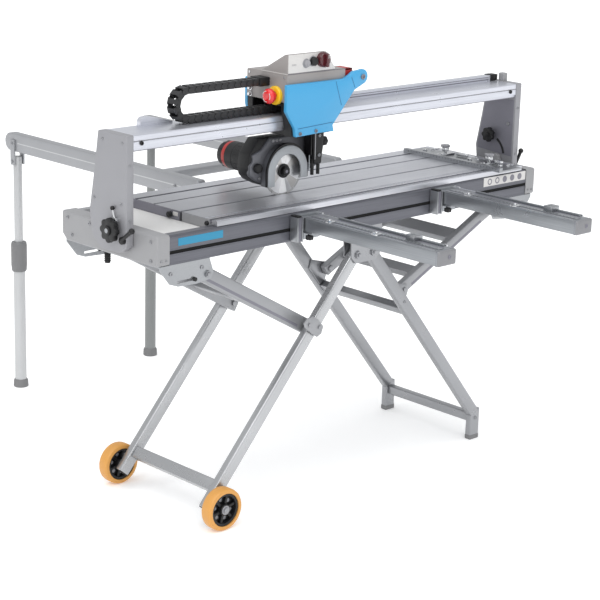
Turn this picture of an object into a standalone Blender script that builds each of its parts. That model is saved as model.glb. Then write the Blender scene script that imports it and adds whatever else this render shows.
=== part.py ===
"""Bridge tile cutter on a folding wheeled stand, with table arms and a rear table extension.

Layout frame while modelling, in metres: X runs along the rails from the outer face of the left end
cover, Y runs back from the face of the front rail, Z is the height over the floor.
The finished model is shifted so that the origin is under the centre of its box.
"""
import math

import bmesh
import bpy
from mathutils import Matrix, Vector

# Base
BASE_LENGTH = 1.255
BASE_WIDTH = 0.332
RAIL_BOTTOM = 0.636
RAIL_TOP = 0.701
RAIL_DEPTH = 0.024
COVER = 0.035
TABLE_BOTTOM = 0.6905
TABLE_TOP = 0.713
TABLE_LEFT = 0.172
TABLE_RIGHT = 1.205
SLOT_Y = 0.125
SLOT_HALF = 0.0035
DRAIN = (0.052, 0.235)
GAP = 0.0003

# Stand
TUBE_WIDE = 0.030
TUBE_DEEP = 0.020
LEG_Y = 0.004
BRACE_Y = 0.0285
LEFT_APEX = (0.614, 0.570)
RIGHT_APEX = (0.666, 0.570)
WHEEL_AXLE = (0.176, 0.050)
LEG_END = (0.165, 0.050)
LEFT_ELBOW = (0.478, 0.4125)
RIGHT_ELBOW = (0.8058, 0.4478)
RIGHT_TIE = ((0.8147, 0.3876), (0.7995, 0.4061))
LEFT_ANCHOR = (0.145, 0.600)
RIGHT_ANCHOR = (1.110, 0.600)
FOOT_BEND = (1.0716, 0.0785)
FOOT_X = 1.079
WHEEL_RADIUS = 0.050
WHEEL_WIDTH = 0.030
WHEEL_Y = -0.0225

# Bridge
TILT_Y = 0.125
TILT_Z = 0.712
BEAM_FRONT = 0.078
BEAM_REAR = 0.170
BEAM_BOTTOM = 0.875
BEAM_TOP = 0.909
UPRIGHT = 0.020
STRIP_LEFT = 0.500
STRIP_TOP = 0.924

# Head and cutting unit
BLADE_X = 0.480
BLADE_Z = 0.768
BLADE_RADIUS = 0.059
COVER_FRONT = 0.0405
BOX_LEFT = 0.4187
BOX_RIGHT = 0.602

# Arms and extension
ARM_WIDTH = 0.056
ARM_TOP = 0.695
ARM_BOTTOM = 0.662
ARM_END = -0.4345
LEFT_ARM_X = 0.408
RIGHT_ARM_X = 0.876
EXT_LEFT_X = 0.405
EXT_RIGHT_X = 0.868
EXT_END = 1.143
EXT_TOP = 0.716
EXT_BOTTOM = 0.667
EXT_LEG_Y = 1.103
EXT_PIVOT_Z = 0.640

HELPERS = []
MADE = {}
MATERIALS = {}


def clear_scene():
    for obj in list(bpy.data.objects):
        bpy.data.objects.remove(obj, do_unlink=True)
    for name in ("tile_cutter", "tile_cutter_cutters"):
        old = bpy.data.collections.get(name)
        if old is not None:
            bpy.data.collections.remove(old)


def make_collections():
    scene = bpy.context.scene
    parts = bpy.data.collections.new("tile_cutter")
    cutters = bpy.data.collections.new("tile_cutter_cutters")
    scene.collection.children.link(parts)
    scene.collection.children.link(cutters)
    return parts, cutters


def make_material(name, colour, roughness, metallic):
    material = bpy.data.materials.new(name)
    material.use_nodes = True
    shader = material.node_tree.nodes["Principled BSDF"]
    shader.inputs["Base Color"].default_value = (*colour, 1.0)
    shader.inputs["Roughness"].default_value = roughness
    shader.inputs["Metallic"].default_value = metallic
    material.diffuse_color = (*colour, 1.0)
    MATERIALS[name] = (colour, roughness, metallic)
    return material


LOOKS = {
    "silver": ((0.58, 0.59, 0.61), 0.38, 0.75),
    "pale_aluminium": ((0.78, 0.79, 0.81), 0.32, 0.85),
    "dark_grey": ((0.13, 0.13, 0.14), 0.5, 0.3),
    "light_grey": ((0.60, 0.60, 0.61), 0.5, 0.1),
    "zinc": ((0.66, 0.67, 0.69), 0.3, 0.9),
    "blue": ((0.08, 0.38, 0.70), 0.4, 0.0),
    "warm_grey": ((0.42, 0.40, 0.39), 0.5, 0.0),
    "black": ((0.015, 0.015, 0.016), 0.5, 0.0),
    "yellow": ((0.85, 0.55, 0.03), 0.45, 0.0),
    "amber": ((0.86, 0.42, 0.04), 0.45, 0.0),
    "red": ((0.62, 0.04, 0.04), 0.35, 0.0),
    "dark_red": ((0.10, 0.015, 0.02), 0.4, 0.0),
    "steel": ((0.62, 0.62, 0.63), 0.28, 1.0),
    "guard_grey": ((0.50, 0.52, 0.52), 0.45, 0.1),
    "grey_plastic": ((0.30, 0.30, 0.31), 0.5, 0.0),
}


def object_from(bm, name="shape"):
    bmesh.ops.recalc_face_normals(bm, faces=bm.faces[:])
    mesh = bpy.data.meshes.new(name)
    bm.to_mesh(mesh)
    bm.free()
    return bpy.data.objects.new(name, mesh)


def span(a, b):
    return (min(a, b), max(a, b))


def box(x, y, z, bevel=0.0, segments=1):
    """A box between the two values of each axis, its edges bevelled."""
    (x0, x1), (y0, y1), (z0, z1) = span(*x), span(*y), span(*z)
    middle = Vector(((x0 + x1) / 2, (y0 + y1) / 2, (z0 + z1) / 2))
    size = Matrix.Diagonal((x1 - x0, y1 - y0, z1 - z0, 1.0))
    bm = bmesh.new()
    bmesh.ops.create_cube(bm, size=1.0, matrix=Matrix.Translation(middle) @ size)
    if bevel:
        bmesh.ops.bevel(
            bm, geom=bm.edges[:], offset=bevel, segments=segments, profile=0.5, affect="EDGES"
        )
    return object_from(bm)


def cylinder(start, end, radius, sides=20, end_radius=None):
    """A cylinder or cone between two points."""
    start, end = Vector(start), Vector(end)
    axis = end - start
    turn = axis.to_track_quat("Z", "Y").to_matrix().to_4x4()
    bm = bmesh.new()
    bmesh.ops.create_cone(
        bm,
        cap_ends=True,
        segments=sides,
        radius1=radius,
        radius2=radius if end_radius is None else end_radius,
        depth=axis.length,
        matrix=Matrix.Translation((start + end) / 2) @ turn,
    )
    return object_from(bm)


def ball(centre, radius, sides=16):
    bm = bmesh.new()
    bmesh.ops.create_uvsphere(
        bm,
        u_segments=sides,
        v_segments=sides // 2,
        radius=radius,
        matrix=Matrix.Translation(Vector(centre)),
    )
    return object_from(bm)


AXES = {
    "X": Matrix(((0, 0, 1, 0), (1, 0, 0, 0), (0, 1, 0, 0), (0, 0, 0, 1))),
    "Y": Matrix(((1, 0, 0, 0), (0, 0, -1, 0), (0, 1, 0, 0), (0, 0, 0, 1))),
    "Z": Matrix.Identity(4),
}


def mesh_from_curve(curve_object):
    """A closed mesh made from a curve object, with its caps welded."""
    bpy.context.scene.collection.objects.link(curve_object)
    graph = bpy.context.evaluated_depsgraph_get()
    mesh = bpy.data.meshes.new_from_object(curve_object.evaluated_get(graph))
    bm = bmesh.new()
    bm.from_mesh(mesh)
    bmesh.ops.remove_doubles(bm, verts=bm.verts[:], dist=0.00001)
    bmesh.ops.recalc_face_normals(bm, faces=bm.faces[:])
    bm.to_mesh(mesh)
    bm.free()
    made = bpy.data.objects.new("shape", mesh)
    made.matrix_world = curve_object.matrix_world
    bpy.data.objects.remove(curve_object, do_unlink=True)
    return made


def outline(points, axis, low, high):
    """A flat outline pushed along an axis. Its two coordinates are (y, z), (x, z) or (x, y)."""
    curve = bpy.data.curves.new("outline", "CURVE")
    curve.dimensions = "2D"
    curve.fill_mode = "BOTH"
    curve.extrude = (high - low) / 2
    line = curve.splines.new("POLY")
    line.points.add(len(points) - 1)
    for point, (a, b) in zip(line.points, points):
        point.co = (a, b, 0.0, 1.0)
    line.use_cyclic_u = True
    made = mesh_from_curve(bpy.data.objects.new("outline", curve))
    step = -(low + high) / 2 if axis == "Y" else (low + high) / 2
    made.data.transform(AXES[axis] @ Matrix.Translation((0.0, 0.0, step)))
    return made


def turned(profile, origin, direction, sides=32):
    """A turned shape: (radius, height) from the top of its axis down its outer side."""
    mesh = bpy.data.meshes.new("profile")
    points = [(radius, 0.0, height) for radius, height in profile]
    edges = [(i, i + 1) for i in range(len(points) - 1)]
    mesh.from_pydata(points, edges, [])
    obj = bpy.data.objects.new("profile", mesh)
    screw = obj.modifiers.new("Screw", "SCREW")
    screw.steps = sides
    screw.render_steps = sides
    screw.use_merge_vertices = True
    screw.merge_threshold = 0.00001
    made = mesh_from_curve(obj)
    turn = Vector(direction).to_track_quat("Z", "Y").to_matrix().to_4x4()
    made.data.transform(Matrix.Translation(Vector(origin)) @ turn)
    return made


def ring_profile(outer, inner, half, chamfer):
    """The closed profile of a ring, from its top inner edge round its outer side."""
    return [
        (inner, half),
        (outer - chamfer, half),
        (outer, half - chamfer),
        (outer, chamfer - half),
        (outer - chamfer, -half),
        (inner, -half),
        (inner, half),
    ]


def arc(centre, radius, start, end, count):
    """Points on an arc, its angles in degrees."""
    points = []
    for i in range(count + 1):
        angle = math.radians(start + (end - start) * i / count)
        points.append((centre[0] + radius * math.cos(angle), centre[1] + radius * math.sin(angle)))
    return points


def star(centre, radius, lobes, depth=0.13, count=4):
    """The outline of a lobed knob."""
    points = []
    total = lobes * count
    for i in range(total):
        angle = 2 * math.pi * i / total
        reach = radius * (1.0 - depth * (0.5 - 0.5 * math.cos(lobes * angle)))
        points.append((centre[0] + reach * math.cos(angle), centre[1] + reach * math.sin(angle)))
    return points


def helper(obj, name):
    """Hides a shape that only cuts or joins another."""
    obj.name = name
    CUTTERS.objects.link(obj)
    obj.hide_render = True
    obj.display_type = "WIRE"
    HELPERS.append(obj)
    return obj


def boolean(obj, others, operation):
    for i, other in enumerate(others):
        helper(other, f"{operation.lower()}_{len(HELPERS):03d}")
        modifier = obj.modifiers.new(f"{operation}_{i}", "BOOLEAN")
        modifier.operation = operation
        modifier.solver = "EXACT"
        modifier.object = other
    return obj


def join(obj, *others):
    return boolean(obj, others, "UNION")


def cut(obj, *others):
    return boolean(obj, others, "DIFFERENCE")


def finish(obj, name, look, pivot):
    """Names a part, gives it its material and puts its origin on its joint or centre."""
    pivot = Vector(pivot)
    obj.name = name
    obj.data.name = name
    obj.data.transform(Matrix.Translation(-pivot))
    obj.location = pivot
    obj.data.materials.clear()
    obj.data.materials.append(make_material(name + "_" + look, *LOOKS[look]))
    obj.data.shade_smooth()
    obj.data.set_sharp_from_angle(angle=math.radians(32))
    TILE_CUTTER.objects.link(obj)
    MADE[name] = obj
    return obj


def side_x(side, x):
    """A distance from the left end, or the same distance from the right end."""
    return x if side == "left" else BASE_LENGTH - x


def back_y(side, y):
    """A distance from the front face, or the same distance from the rear face."""
    return y if side == "front" else BASE_WIDTH - y


def bar(start, end, wide, y_range, before=0.0, after=0.0, bevel=0.002):
    """A straight bar in an XZ plane between two (x, z) points, reaching past both of them."""
    start, end = Vector((start[0], 0.0, start[1])), Vector((end[0], 0.0, end[1]))
    along = (end - start).normalized()
    start = start - along * before
    end = end + along * after
    length = (end - start).length
    y0, y1 = span(*y_range)
    shape = box((0.0, length), (y0, y1), (-wide / 2, wide / 2), bevel)
    angle = math.atan2(along.z, along.x)
    turn = Matrix.Rotation(-angle, 4, "Y")
    shape.data.transform(Matrix.Translation(start) @ turn)
    return shape


def pin(x, z, y0, y1, radius, sides=12):
    return cylinder((x, y0, z), (x, y1, z), radius, sides)


# ---------------------------------------------------------------- base


def rail_section(side):
    groove = (RAIL_BOTTOM + 0.0235, RAIL_BOTTOM + 0.0315)
    points = [
        (0.0, RAIL_BOTTOM),
        (RAIL_DEPTH, RAIL_BOTTOM),
        (RAIL_DEPTH, RAIL_TOP),
        (0.005, RAIL_TOP),
        (0.0015, RAIL_TOP - 0.0015),
        (0.0, RAIL_TOP - 0.005),
        (0.0, groove[1]),
        (0.010, groove[1]),
        (0.010, groove[0]),
        (0.0, groove[0]),
    ]
    return [(back_y(side, y), z) for y, z in points]


def make_rails():
    low, high = COVER + GAP, BASE_LENGTH - COVER - GAP
    for side in ("front", "rear"):
        rail = outline(rail_section(side), "X", low, high)
        finish(rail, side + "_rail", "dark_grey" if side == "front" else "silver",
               (BASE_LENGTH / 2, back_y(side, 0.0), RAIL_BOTTOM))


def cover_section():
    bottom, top = RAIL_BOTTOM, RAIL_TOP + 0.002
    points = [(0.004, bottom), (0.318, bottom), (0.334, bottom + 0.014)]
    points += arc((0.328, top - 0.006), 0.006, 0, 90, 4)
    points += arc((0.004, top - 0.006), 0.006, 90, 180, 4)
    points += arc((0.004, bottom + 0.006), 0.006, 180, 270, 4)[:-1]
    return points


def make_end_covers():
    for side in ("left", "right"):
        x = span(side_x(side, 0.0), side_x(side, COVER))
        cover = outline(cover_section(), "X", *x)
        lug = [(0.106, 0.690), (0.144, 0.690)] + arc((TILT_Y, TILT_Z), 0.0095, 0, 180, 8)
        lug = outline(lug, "X", *span(side_x(side, 0.0), side_x(side, 0.014)))
        inner, outer = side_x(side, 0.004), side_x(side, -0.0195)
        stud = cylinder((inner, TILT_Y, TILT_Z), (outer, TILT_Y, TILT_Z), 0.005)
        join(cover, lug, stud)
        finish(cover, side + "_end_cover", "light_grey", (side_x(side, 0.0), TILT_Y, TILT_Z))


def make_water_tray():
    walls = (RAIL_DEPTH + GAP, BASE_WIDTH - RAIL_DEPTH - GAP)
    left, right = COVER + GAP, BASE_LENGTH - COVER - GAP
    tray = box((left, right), walls, (0.645, 0.690))
    inner_y = (walls[0] + 0.003, walls[1] - 0.003)
    pockets = []
    for x0, x1 in ((0.175, 0.400), (0.430, 0.830), (0.860, 1.195)):
        pockets.append(box((x0, x1), inner_y, (0.648, 0.700)))
    x, y = DRAIN
    spout = cylinder((x, y, 0.6885), (x, y, 0.620), 0.009)
    nozzle = cylinder((x, y, 0.624), (x, y, 0.592), 0.006)
    bore = cylinder((x, y, 0.660), (x, y, 0.580), 0.004)
    cut(tray, *pockets)
    join(tray, spout, nozzle)
    cut(tray, bore)
    finish(tray, "water_tray", "light_grey", (BASE_LENGTH / 2, BASE_WIDTH / 2, 0.645))


def slab_section(front):
    """A table slab: a deep middle between the rails and a thin lip over one rail."""
    lip_bottom = RAIL_TOP + GAP
    inner = SLOT_Y - SLOT_HALF if front else SLOT_Y + SLOT_HALF
    lip = 0.003 if front else BASE_WIDTH - 0.003
    step = RAIL_DEPTH + 2 * GAP if front else BASE_WIDTH - RAIL_DEPTH - 2 * GAP
    grooves = (0.024,) if front else (0.284, 0.219)
    way = 1.0 if front else -1.0
    points = [(inner, TABLE_BOTTOM), (step, TABLE_BOTTOM), (step, lip_bottom), (lip, lip_bottom)]
    points += [(lip, TABLE_TOP - 0.001), (lip + way * 0.001, TABLE_TOP)]
    for i, y in enumerate(grooves):
        half, deep = (0.005, 0.006) if i == 0 else (0.003, 0.003)
        points += [(y - way * half, TABLE_TOP), (y - way * half, TABLE_TOP - deep)]
        points += [(y + way * half, TABLE_TOP - deep), (y + way * half, TABLE_TOP)]
    points += [(inner - way * 0.001, TABLE_TOP), (inner, TABLE_TOP - 0.001)]
    return points


def make_tables():
    for name, front in (("front_table", True), ("rear_table", False)):
        slab = outline(slab_section(front), "X", TABLE_LEFT, TABLE_RIGHT)
        y = 0.06 if front else 0.23
        finish(slab, name, "pale_aluminium", (BASE_LENGTH / 2, y, TABLE_TOP))


def make_fence():
    base = TABLE_TOP + GAP
    points = [(1.085, base), (1.170, base), (1.170, base + 0.004), (1.097, base + 0.004),
              (1.097, base + 0.0115), (1.085, base + 0.0115)]
    fence = outline(points, "Y", -0.024, 0.305)
    slots = []
    for y in (0.05, 0.20):
        slots.append(box((1.115, 1.155), (y, y + 0.007), (base - 0.01, base + 0.01)))
    cut(fence, *slots)
    finish(fence, "fence", "silver", (1.085, 0.155, base))


def bracket_ear(side, front):
    points = [(0.010, 0.6353), (0.010, 0.628), (0.038, 0.593), (0.061, 0.585), (0.112, 0.583),
              (0.154, 0.588), (0.162, 0.602), (0.150, 0.6353)]
    low, high = span(back_y(front, 0.0003), back_y(front, 0.0033))
    return outline([(side_x(side, x), z) for x, z in points], "Y", low, high)


def make_brackets():
    for side, anchor in (("left", LEFT_ANCHOR), ("right", RIGHT_ANCHOR)):
        x = (side_x(side, 0.010), side_x(side, 0.150))
        plate = box(x, (0.0003, BASE_WIDTH - 0.0003), (0.6325, RAIL_BOTTOM - GAP))
        shapes = []
        slots = []
        for front in ("front", "rear"):
            shapes.append(bracket_ear(side, front))
            y = [back_y(front, v) for v in (-0.004, 0.0005, BRACE_Y - 0.0005)]
            shapes.append(pin(anchor[0], anchor[1], y[0], y[1], 0.008))
            shapes.append(pin(anchor[0], anchor[1], y[0], y[2], 0.005))
            hole = (side_x(side, 0.058), side_x(side, 0.112))
            slots.append(box(hole, (back_y(front, -0.01), back_y(front, 0.01)), (0.592, 0.598)))
        if side == "left":
            slots.append(cylinder((*DRAIN, 0.650), (*DRAIN, 0.620), 0.0095))
        join(plate, *shapes)
        cut(plate, *slots)
        finish(plate, side + "_bracket", "zinc", (side_x(side, 0.08), BASE_WIDTH / 2, 0.6325))


def make_stand_hub():
    plate = box((0.588, 0.692), (0.0003, BASE_WIDTH - 0.0003), (0.6315, RAIL_BOTTOM - GAP))
    shapes = []
    for front in ("front", "rear"):
        for y0, y1 in ((0.0003, 0.0035), (0.0247, 0.0277)):
            points = [(0.588, 0.634), (0.592, 0.565), (0.606, 0.550), (0.674, 0.550), (0.688, 0.565),
                      (0.692, 0.634)]
            low, high = span(back_y(front, y0), back_y(front, y1))
            shapes.append(outline(points, "Y", low, high))
        for x, z in (LEFT_APEX, RIGHT_APEX):
            y = [back_y(front, v) for v in (-0.004, 0.0005, 0.0275, 0.0315)]
            shapes.append(pin(x, z, y[0], y[3], 0.006))
            shapes.append(pin(x, z, y[0], y[1], 0.010))
            shapes.append(pin(x, z, y[2], y[3], 0.010))
    join(plate, *shapes)
    finish(plate, "stand_hub", "silver", (0.640, BASE_WIDTH / 2, 0.6315))


# ---------------------------------------------------------------- stand


def leg_span(front):
    return span(back_y(front, LEG_Y), back_y(front, LEG_Y + TUBE_DEEP))


def brace_span(front):
    return span(back_y(front, BRACE_Y), back_y(front, BRACE_Y + TUBE_DEEP))


def elbow_pins(elbow):
    """The bolts that carry the braces, through each leg's middle."""
    shapes = []
    for front in ("front", "rear"):
        y = [back_y(front, v) for v in (LEG_Y - 0.003, LEG_Y + 0.001, 0.0500, 0.0535)]
        shapes.append(pin(elbow[0], elbow[1], y[0], y[3], 0.0055))
        shapes.append(pin(elbow[0], elbow[1], y[0], y[1], 0.009))
        shapes.append(pin(elbow[0], elbow[1], y[2], y[3], 0.009))
    return shapes


def make_left_legs():
    legs = [bar(LEG_END, LEFT_APEX, TUBE_WIDE, leg_span(f), 0.012, 0.015) for f in ("front", "rear")]
    dx, dz = LEFT_APEX[0] - LEG_END[0], LEFT_APEX[1] - LEG_END[1]
    reach = math.hypot(dx, dz)
    a = (LEG_END[0] + dx * 0.030 / reach, LEG_END[1] + dz * 0.030 / reach)
    b = (LEG_END[0] + dx * 0.060 / reach, LEG_END[1] + dz * 0.060 / reach)
    cross = bar(a, b, 0.020, (0.023, BASE_WIDTH - 0.023))
    shapes = [legs[1], cross] + elbow_pins(LEFT_ELBOW)
    for front in ("front", "rear"):
        y = [back_y(front, v) for v in (LEG_Y + 0.010, -0.0405, -0.0365)]
        shapes.append(pin(WHEEL_AXLE[0], WHEEL_AXLE[1], y[0], y[1], 0.006))
        shapes.append(pin(WHEEL_AXLE[0], WHEEL_AXLE[1], y[1], y[2], 0.010))
        ring = [back_y(front, v) for v in (LEG_Y + 0.001, -0.0060)]
        shapes.append(pin(WHEEL_AXLE[0], WHEEL_AXLE[1], ring[0], ring[1], 0.009))
    join(legs[0], *shapes)
    holes = []
    for front in ("front", "rear"):
        low, high = span(back_y(front, 0.000), back_y(front, 0.030))
        holes.append(pin(LEFT_APEX[0], LEFT_APEX[1], low, high, 0.0064))
    cut(legs[0], *holes)
    finish(legs[0], "left_leg_frame", "silver", (LEFT_APEX[0], BASE_WIDTH / 2, LEFT_APEX[1]))


def make_right_legs():
    legs = [bar(FOOT_BEND, RIGHT_APEX, TUBE_WIDE, leg_span(f), 0.010, 0.015) for f in ("front", "rear")]
    shapes = [legs[1]]
    gusset = [(0.750, 0.452), (0.757, 0.474), (0.800, 0.4625), (0.8135, 0.4600), (0.8205, 0.4490),
              (0.8165, 0.4360), (0.806, 0.412), (0.790, 0.403)]
    for front in ("front", "rear"):
        y = leg_span(front)
        shapes.append(box((FOOT_X - 0.017, FOOT_X + 0.017), y, (0.0, 0.084), 0.0015))
        y = [back_y(front, v) for v in (0.0205, 0.0236, 0.0281, 0.0500, 0.0535)]
        shapes.append(outline(gusset, "Y", *span(y[1], y[2])))
        shapes.append(pin(*RIGHT_ELBOW, y[0], y[4], 0.0055))
        shapes.append(pin(*RIGHT_ELBOW, y[0], y[1] + (y[2] - y[1]) * 0.1, 0.009))
        shapes.append(pin(*RIGHT_ELBOW, y[3], y[4], 0.009))
    shapes.append(box((FOOT_X - 0.010, FOOT_X + 0.010), (0.023, BASE_WIDTH - 0.023), (0.046, 0.070), 0.002))
    shapes.append(bar(*RIGHT_TIE, 0.020, (0.023, BASE_WIDTH - 0.023)))
    join(legs[0], *shapes)
    holes = []
    for front in ("front", "rear"):
        low, high = span(back_y(front, 0.000), back_y(front, 0.030))
        holes.append(pin(RIGHT_APEX[0], RIGHT_APEX[1], low, high, 0.0064))
    cut(legs[0], *holes)
    finish(legs[0], "right_leg_frame", "silver", (RIGHT_APEX[0], BASE_WIDTH / 2, RIGHT_APEX[1]))


def make_braces(name, elbow, anchor, wide, crosses):
    """Two braces from the elbow bolts up to the bracket bolts, tied by cross bars."""
    braces = [bar(elbow, anchor, wide, brace_span(f), 0.014, 0.014) for f in ("front", "rear")]
    dx, dz = anchor[0] - elbow[0], anchor[1] - elbow[1]
    reach = math.hypot(dx, dz)
    shapes = [braces[1]]
    for t, length in crosses:
        a = (elbow[0] + dx * t / reach, elbow[1] + dz * t / reach)
        b = (elbow[0] + dx * (t + length) / reach, elbow[1] + dz * (t + length) / reach)
        y = (BRACE_Y + TUBE_DEEP - 0.001, BASE_WIDTH - BRACE_Y - TUBE_DEEP + 0.001)
        shapes.append(bar(a, b, 0.018, y))
    holes = []
    for front in ("front", "rear"):
        low, high = span(back_y(front, 0.026), back_y(front, 0.052))
        holes.append(pin(elbow[0], elbow[1], low, high, 0.0059))
        low, high = span(back_y(front, BRACE_Y + TUBE_DEEP - 0.001), back_y(front, 0.0520))
        shapes.append(pin(anchor[0], anchor[1], low, high, 0.008))
    join(braces[0], *shapes)
    cut(braces[0], *holes)
    finish(braces[0], name, "silver", (elbow[0], BASE_WIDTH / 2, elbow[1]))


def make_wheel(side):
    y = back_y(side, WHEEL_Y)
    centre = (WHEEL_AXLE[0], y, WHEEL_AXLE[1])
    half = WHEEL_WIDTH / 2
    tyre = turned(ring_profile(WHEEL_RADIUS, 0.0390, half, 0.004), centre, (0, 1, 0), 32)
    finish(tyre, side + "_tyre", "amber", centre)
    profile = [
        (0.0063, 0.013), (0.014, 0.013), (0.017, 0.008), (0.030, 0.008), (0.033, 0.012),
        (0.0387, 0.012), (0.0387, -0.012), (0.033, -0.012), (0.030, -0.008), (0.017, -0.008),
        (0.014, -0.013), (0.0063, -0.013), (0.0063, 0.013),
    ]
    hub = turned(profile, centre, (0, 1, 0), 24)
    finish(hub, side + "_wheel_hub", "black", centre)


# ---------------------------------------------------------------- bridge


def upright_section():
    points = [(0.076, 0.668), (0.098, 0.653)]
    points += arc((0.144, 0.712), 0.061, 262, 330, 6)
    points += [(0.204, 0.734), (0.189, 0.815), (0.174, 0.908), (0.171, BEAM_TOP + 0.001)]
    points += [(0.078, BEAM_TOP + 0.001), (0.076, BEAM_TOP - 0.001)]
    return points


def make_uprights():
    for side in ("left", "right"):
        x = span(side_x(side, -0.0006), side_x(side, -0.0006 - UPRIGHT))
        upright = outline(upright_section(), "X", *x)
        hole = cylinder((side_x(side, 0.02), TILT_Y, TILT_Z), (side_x(side, -0.05), TILT_Y, TILT_Z), 0.0054)
        cuts = [hole]
        if side == "right":
            slot = box((1.2500, 1.2650), (-0.0035, 0.0035), (-0.020, 0.020), 0.002)
            slot.data.transform(Matrix.Translation((0.0, 0.110, 0.745)) @ Matrix.Rotation(0.53, 4, "X"))
            cuts.append(slot)
            join(upright, box((1.2562, 1.2750), (0.121, 0.144), (BEAM_TOP - 0.006, 0.931), 0.001))
        cut(upright, *cuts)
        finish(upright, side + "_upright", "silver", (side_x(side, -0.0006), TILT_Y, TILT_Z))


def make_beam():
    """The beam with the raised strip along its right back edge."""
    y0, y1, z0, z1 = BEAM_FRONT, BEAM_REAR, BEAM_BOTTOM, BEAM_TOP
    points = [
        (y0 + 0.003, z0), (y1, z0), (y1, z1), (y0 + 0.002, z1), (y0, z1 - 0.002),
        (y0, z1 - 0.012), (y0 + 0.0012, z1 - 0.0125), (y0 + 0.0012, z1 - 0.0145), (y0, z1 - 0.015),
        (y0, z0 + 0.006), (y0 + 0.003, z0 + 0.005),
    ]
    beam = outline(points, "X", -0.0003, BASE_LENGTH + 0.0003)
    strip = box((STRIP_LEFT, BASE_LENGTH - 0.004), (0.150, y1 - 0.0005), (z1 - 0.003, STRIP_TOP), 0.001)
    join(beam, strip, hose_clip())
    finish(beam, "bridge_beam", "pale_aluminium", (BASE_LENGTH / 2, TILT_Y, TILT_Z))


def hose_clip():
    """A rounded plate that stands on the beam's rear edge, near its left end."""
    base = BEAM_TOP - 0.001
    points = [(0.078, base), (0.078, base + 0.010)]
    points += arc((0.089, base + 0.010), 0.011, 165, 90, 4)
    points += [(0.105, base + 0.0205), (0.133, base + 0.0135), (0.168, base + 0.005), (0.168, base)]
    return outline(points, "Y", 0.152, 0.165)


def make_tilt_knob():
    centre = (0.115, 0.702)
    knob = outline(star(centre, 0.0275, 8), "X", -0.0415, -0.0290)
    hub = cylinder((-0.0350, *centre), (-0.0209, *centre), 0.013)
    boss = cylinder((-0.0450, *centre), (-0.0350, *centre), 0.011)
    join(knob, hub, boss)
    finish(knob, "left_tilt_knob", "black", (-0.0209, *centre))


def make_stop_knob():
    centre = (0.151, 0.768)
    knob = outline(star(centre, 0.0195, 7), "X", 1.2360, 1.2470)
    hub = cylinder((1.2400, *centre), (1.2553, *centre), 0.010)
    join(knob, hub)
    finish(knob, "angle_stop_knob", "black", (1.2553, *centre))


def make_tilt_lever():
    base = (0.108, 0.7235)
    tip = (0.117, 0.749)
    disc = cylinder((-0.0209, *base), (-0.0283, *base), 0.0065)
    stick = cylinder((-0.0262, *base), (-0.0262, *tip), 0.0020, 12)
    join(disc, stick, ball((-0.0262, *tip), 0.005, 14))
    finish(disc, "left_tilt_lever", "steel", (-0.0209, *base))


def make_lock_lever(side):
    base = (0.085, 0.683) if side == "left" else (0.088, 0.690)
    tip = (0.048, 0.711) if side == "left" else (0.072, 0.732)
    x = [side_x(side, v) for v in (-0.0209, -0.0284, -0.0284)]
    disc = cylinder((x[0], *base), (x[1], *base), 0.0085)
    arm = cylinder((x[2], *base), (x[2], *tip), 0.0038, 14, 0.0048)
    join(disc, arm, ball((x[2], *tip), 0.0070, 14))
    finish(disc, side + "_lock_lever", "black", (x[0], *base))


# ---------------------------------------------------------------- carriage and head


def make_saddle():
    outer = box((0.4370, 0.556), (0.052, 0.190), (0.862, 0.9405), 0.001)
    inner = box((0.400, 0.602), (BEAM_FRONT - 0.0005, BEAM_REAR + 0.0005), (BEAM_BOTTOM - 0.0005, 0.9355))
    cut(outer, inner)
    finish(outer, "carriage_saddle", "black", (0.497, TILT_Y, BEAM_TOP))


def make_control_box():
    points = [(0.052, 0.941), (0.188, 0.941), (0.188, 1.003), (0.186, 1.005), (0.137, 1.008),
              (0.062, 1.0500), (0.054, 1.0505), (0.052, 1.0490)]
    case = outline(points, "X", BOX_LEFT, BOX_RIGHT)
    corner = [(0.5380, 1.070), (0.5380, 1.0500), (0.5715, 1.0065), (0.640, 1.0065), (0.640, 1.070)]
    cuts = [outline(corner, "Y", 0.020, 0.220)]
    for x, z, radius in ((0.4745, 1.0275, 0.0089), (0.4950, 1.031, 0.0104)):
        cuts.append(pin(x, z, 0.040, 0.060, radius))
    cut(case, *cuts)
    finish(case, "control_box", "warm_grey", (0.510, 0.120, 0.975))


def cover_outline():
    return [
        (0.409, 0.984), (0.408, 0.923), (0.436, 0.882), (0.439, 0.863), (0.515, 0.8655),
        (0.560, 0.865), (0.556, 0.880), (0.624, 0.955), (0.657, 0.968), (0.666, 0.979),
        (0.664, 0.992), (0.652, 1.001), (0.636, 1.004), (0.612, 0.993), (0.590, 0.984),
    ]


def make_head_covers():
    front = outline(cover_outline(), "Y", COVER_FRONT, 0.0517)
    bevel = front.modifiers.new("Bevel", "BEVEL")
    bevel.width = 0.0015
    bevel.segments = 1
    bevel.limit_method = "ANGLE"
    finish(front, "head_cover", "blue", (0.510, 0.046, 0.930))
    rear = outline(cover_outline(), "Y", 0.1903, 0.2010)
    finish(rear, "rear_cover", "blue", (0.510, 0.196, 0.930))
    handle = cylinder((0.6445, 0.0520, 0.9855), (0.6445, 0.1900, 0.9855), 0.0095)
    finish(handle, "handle_bar", "black", (0.6445, 0.121, 0.9855))


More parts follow.
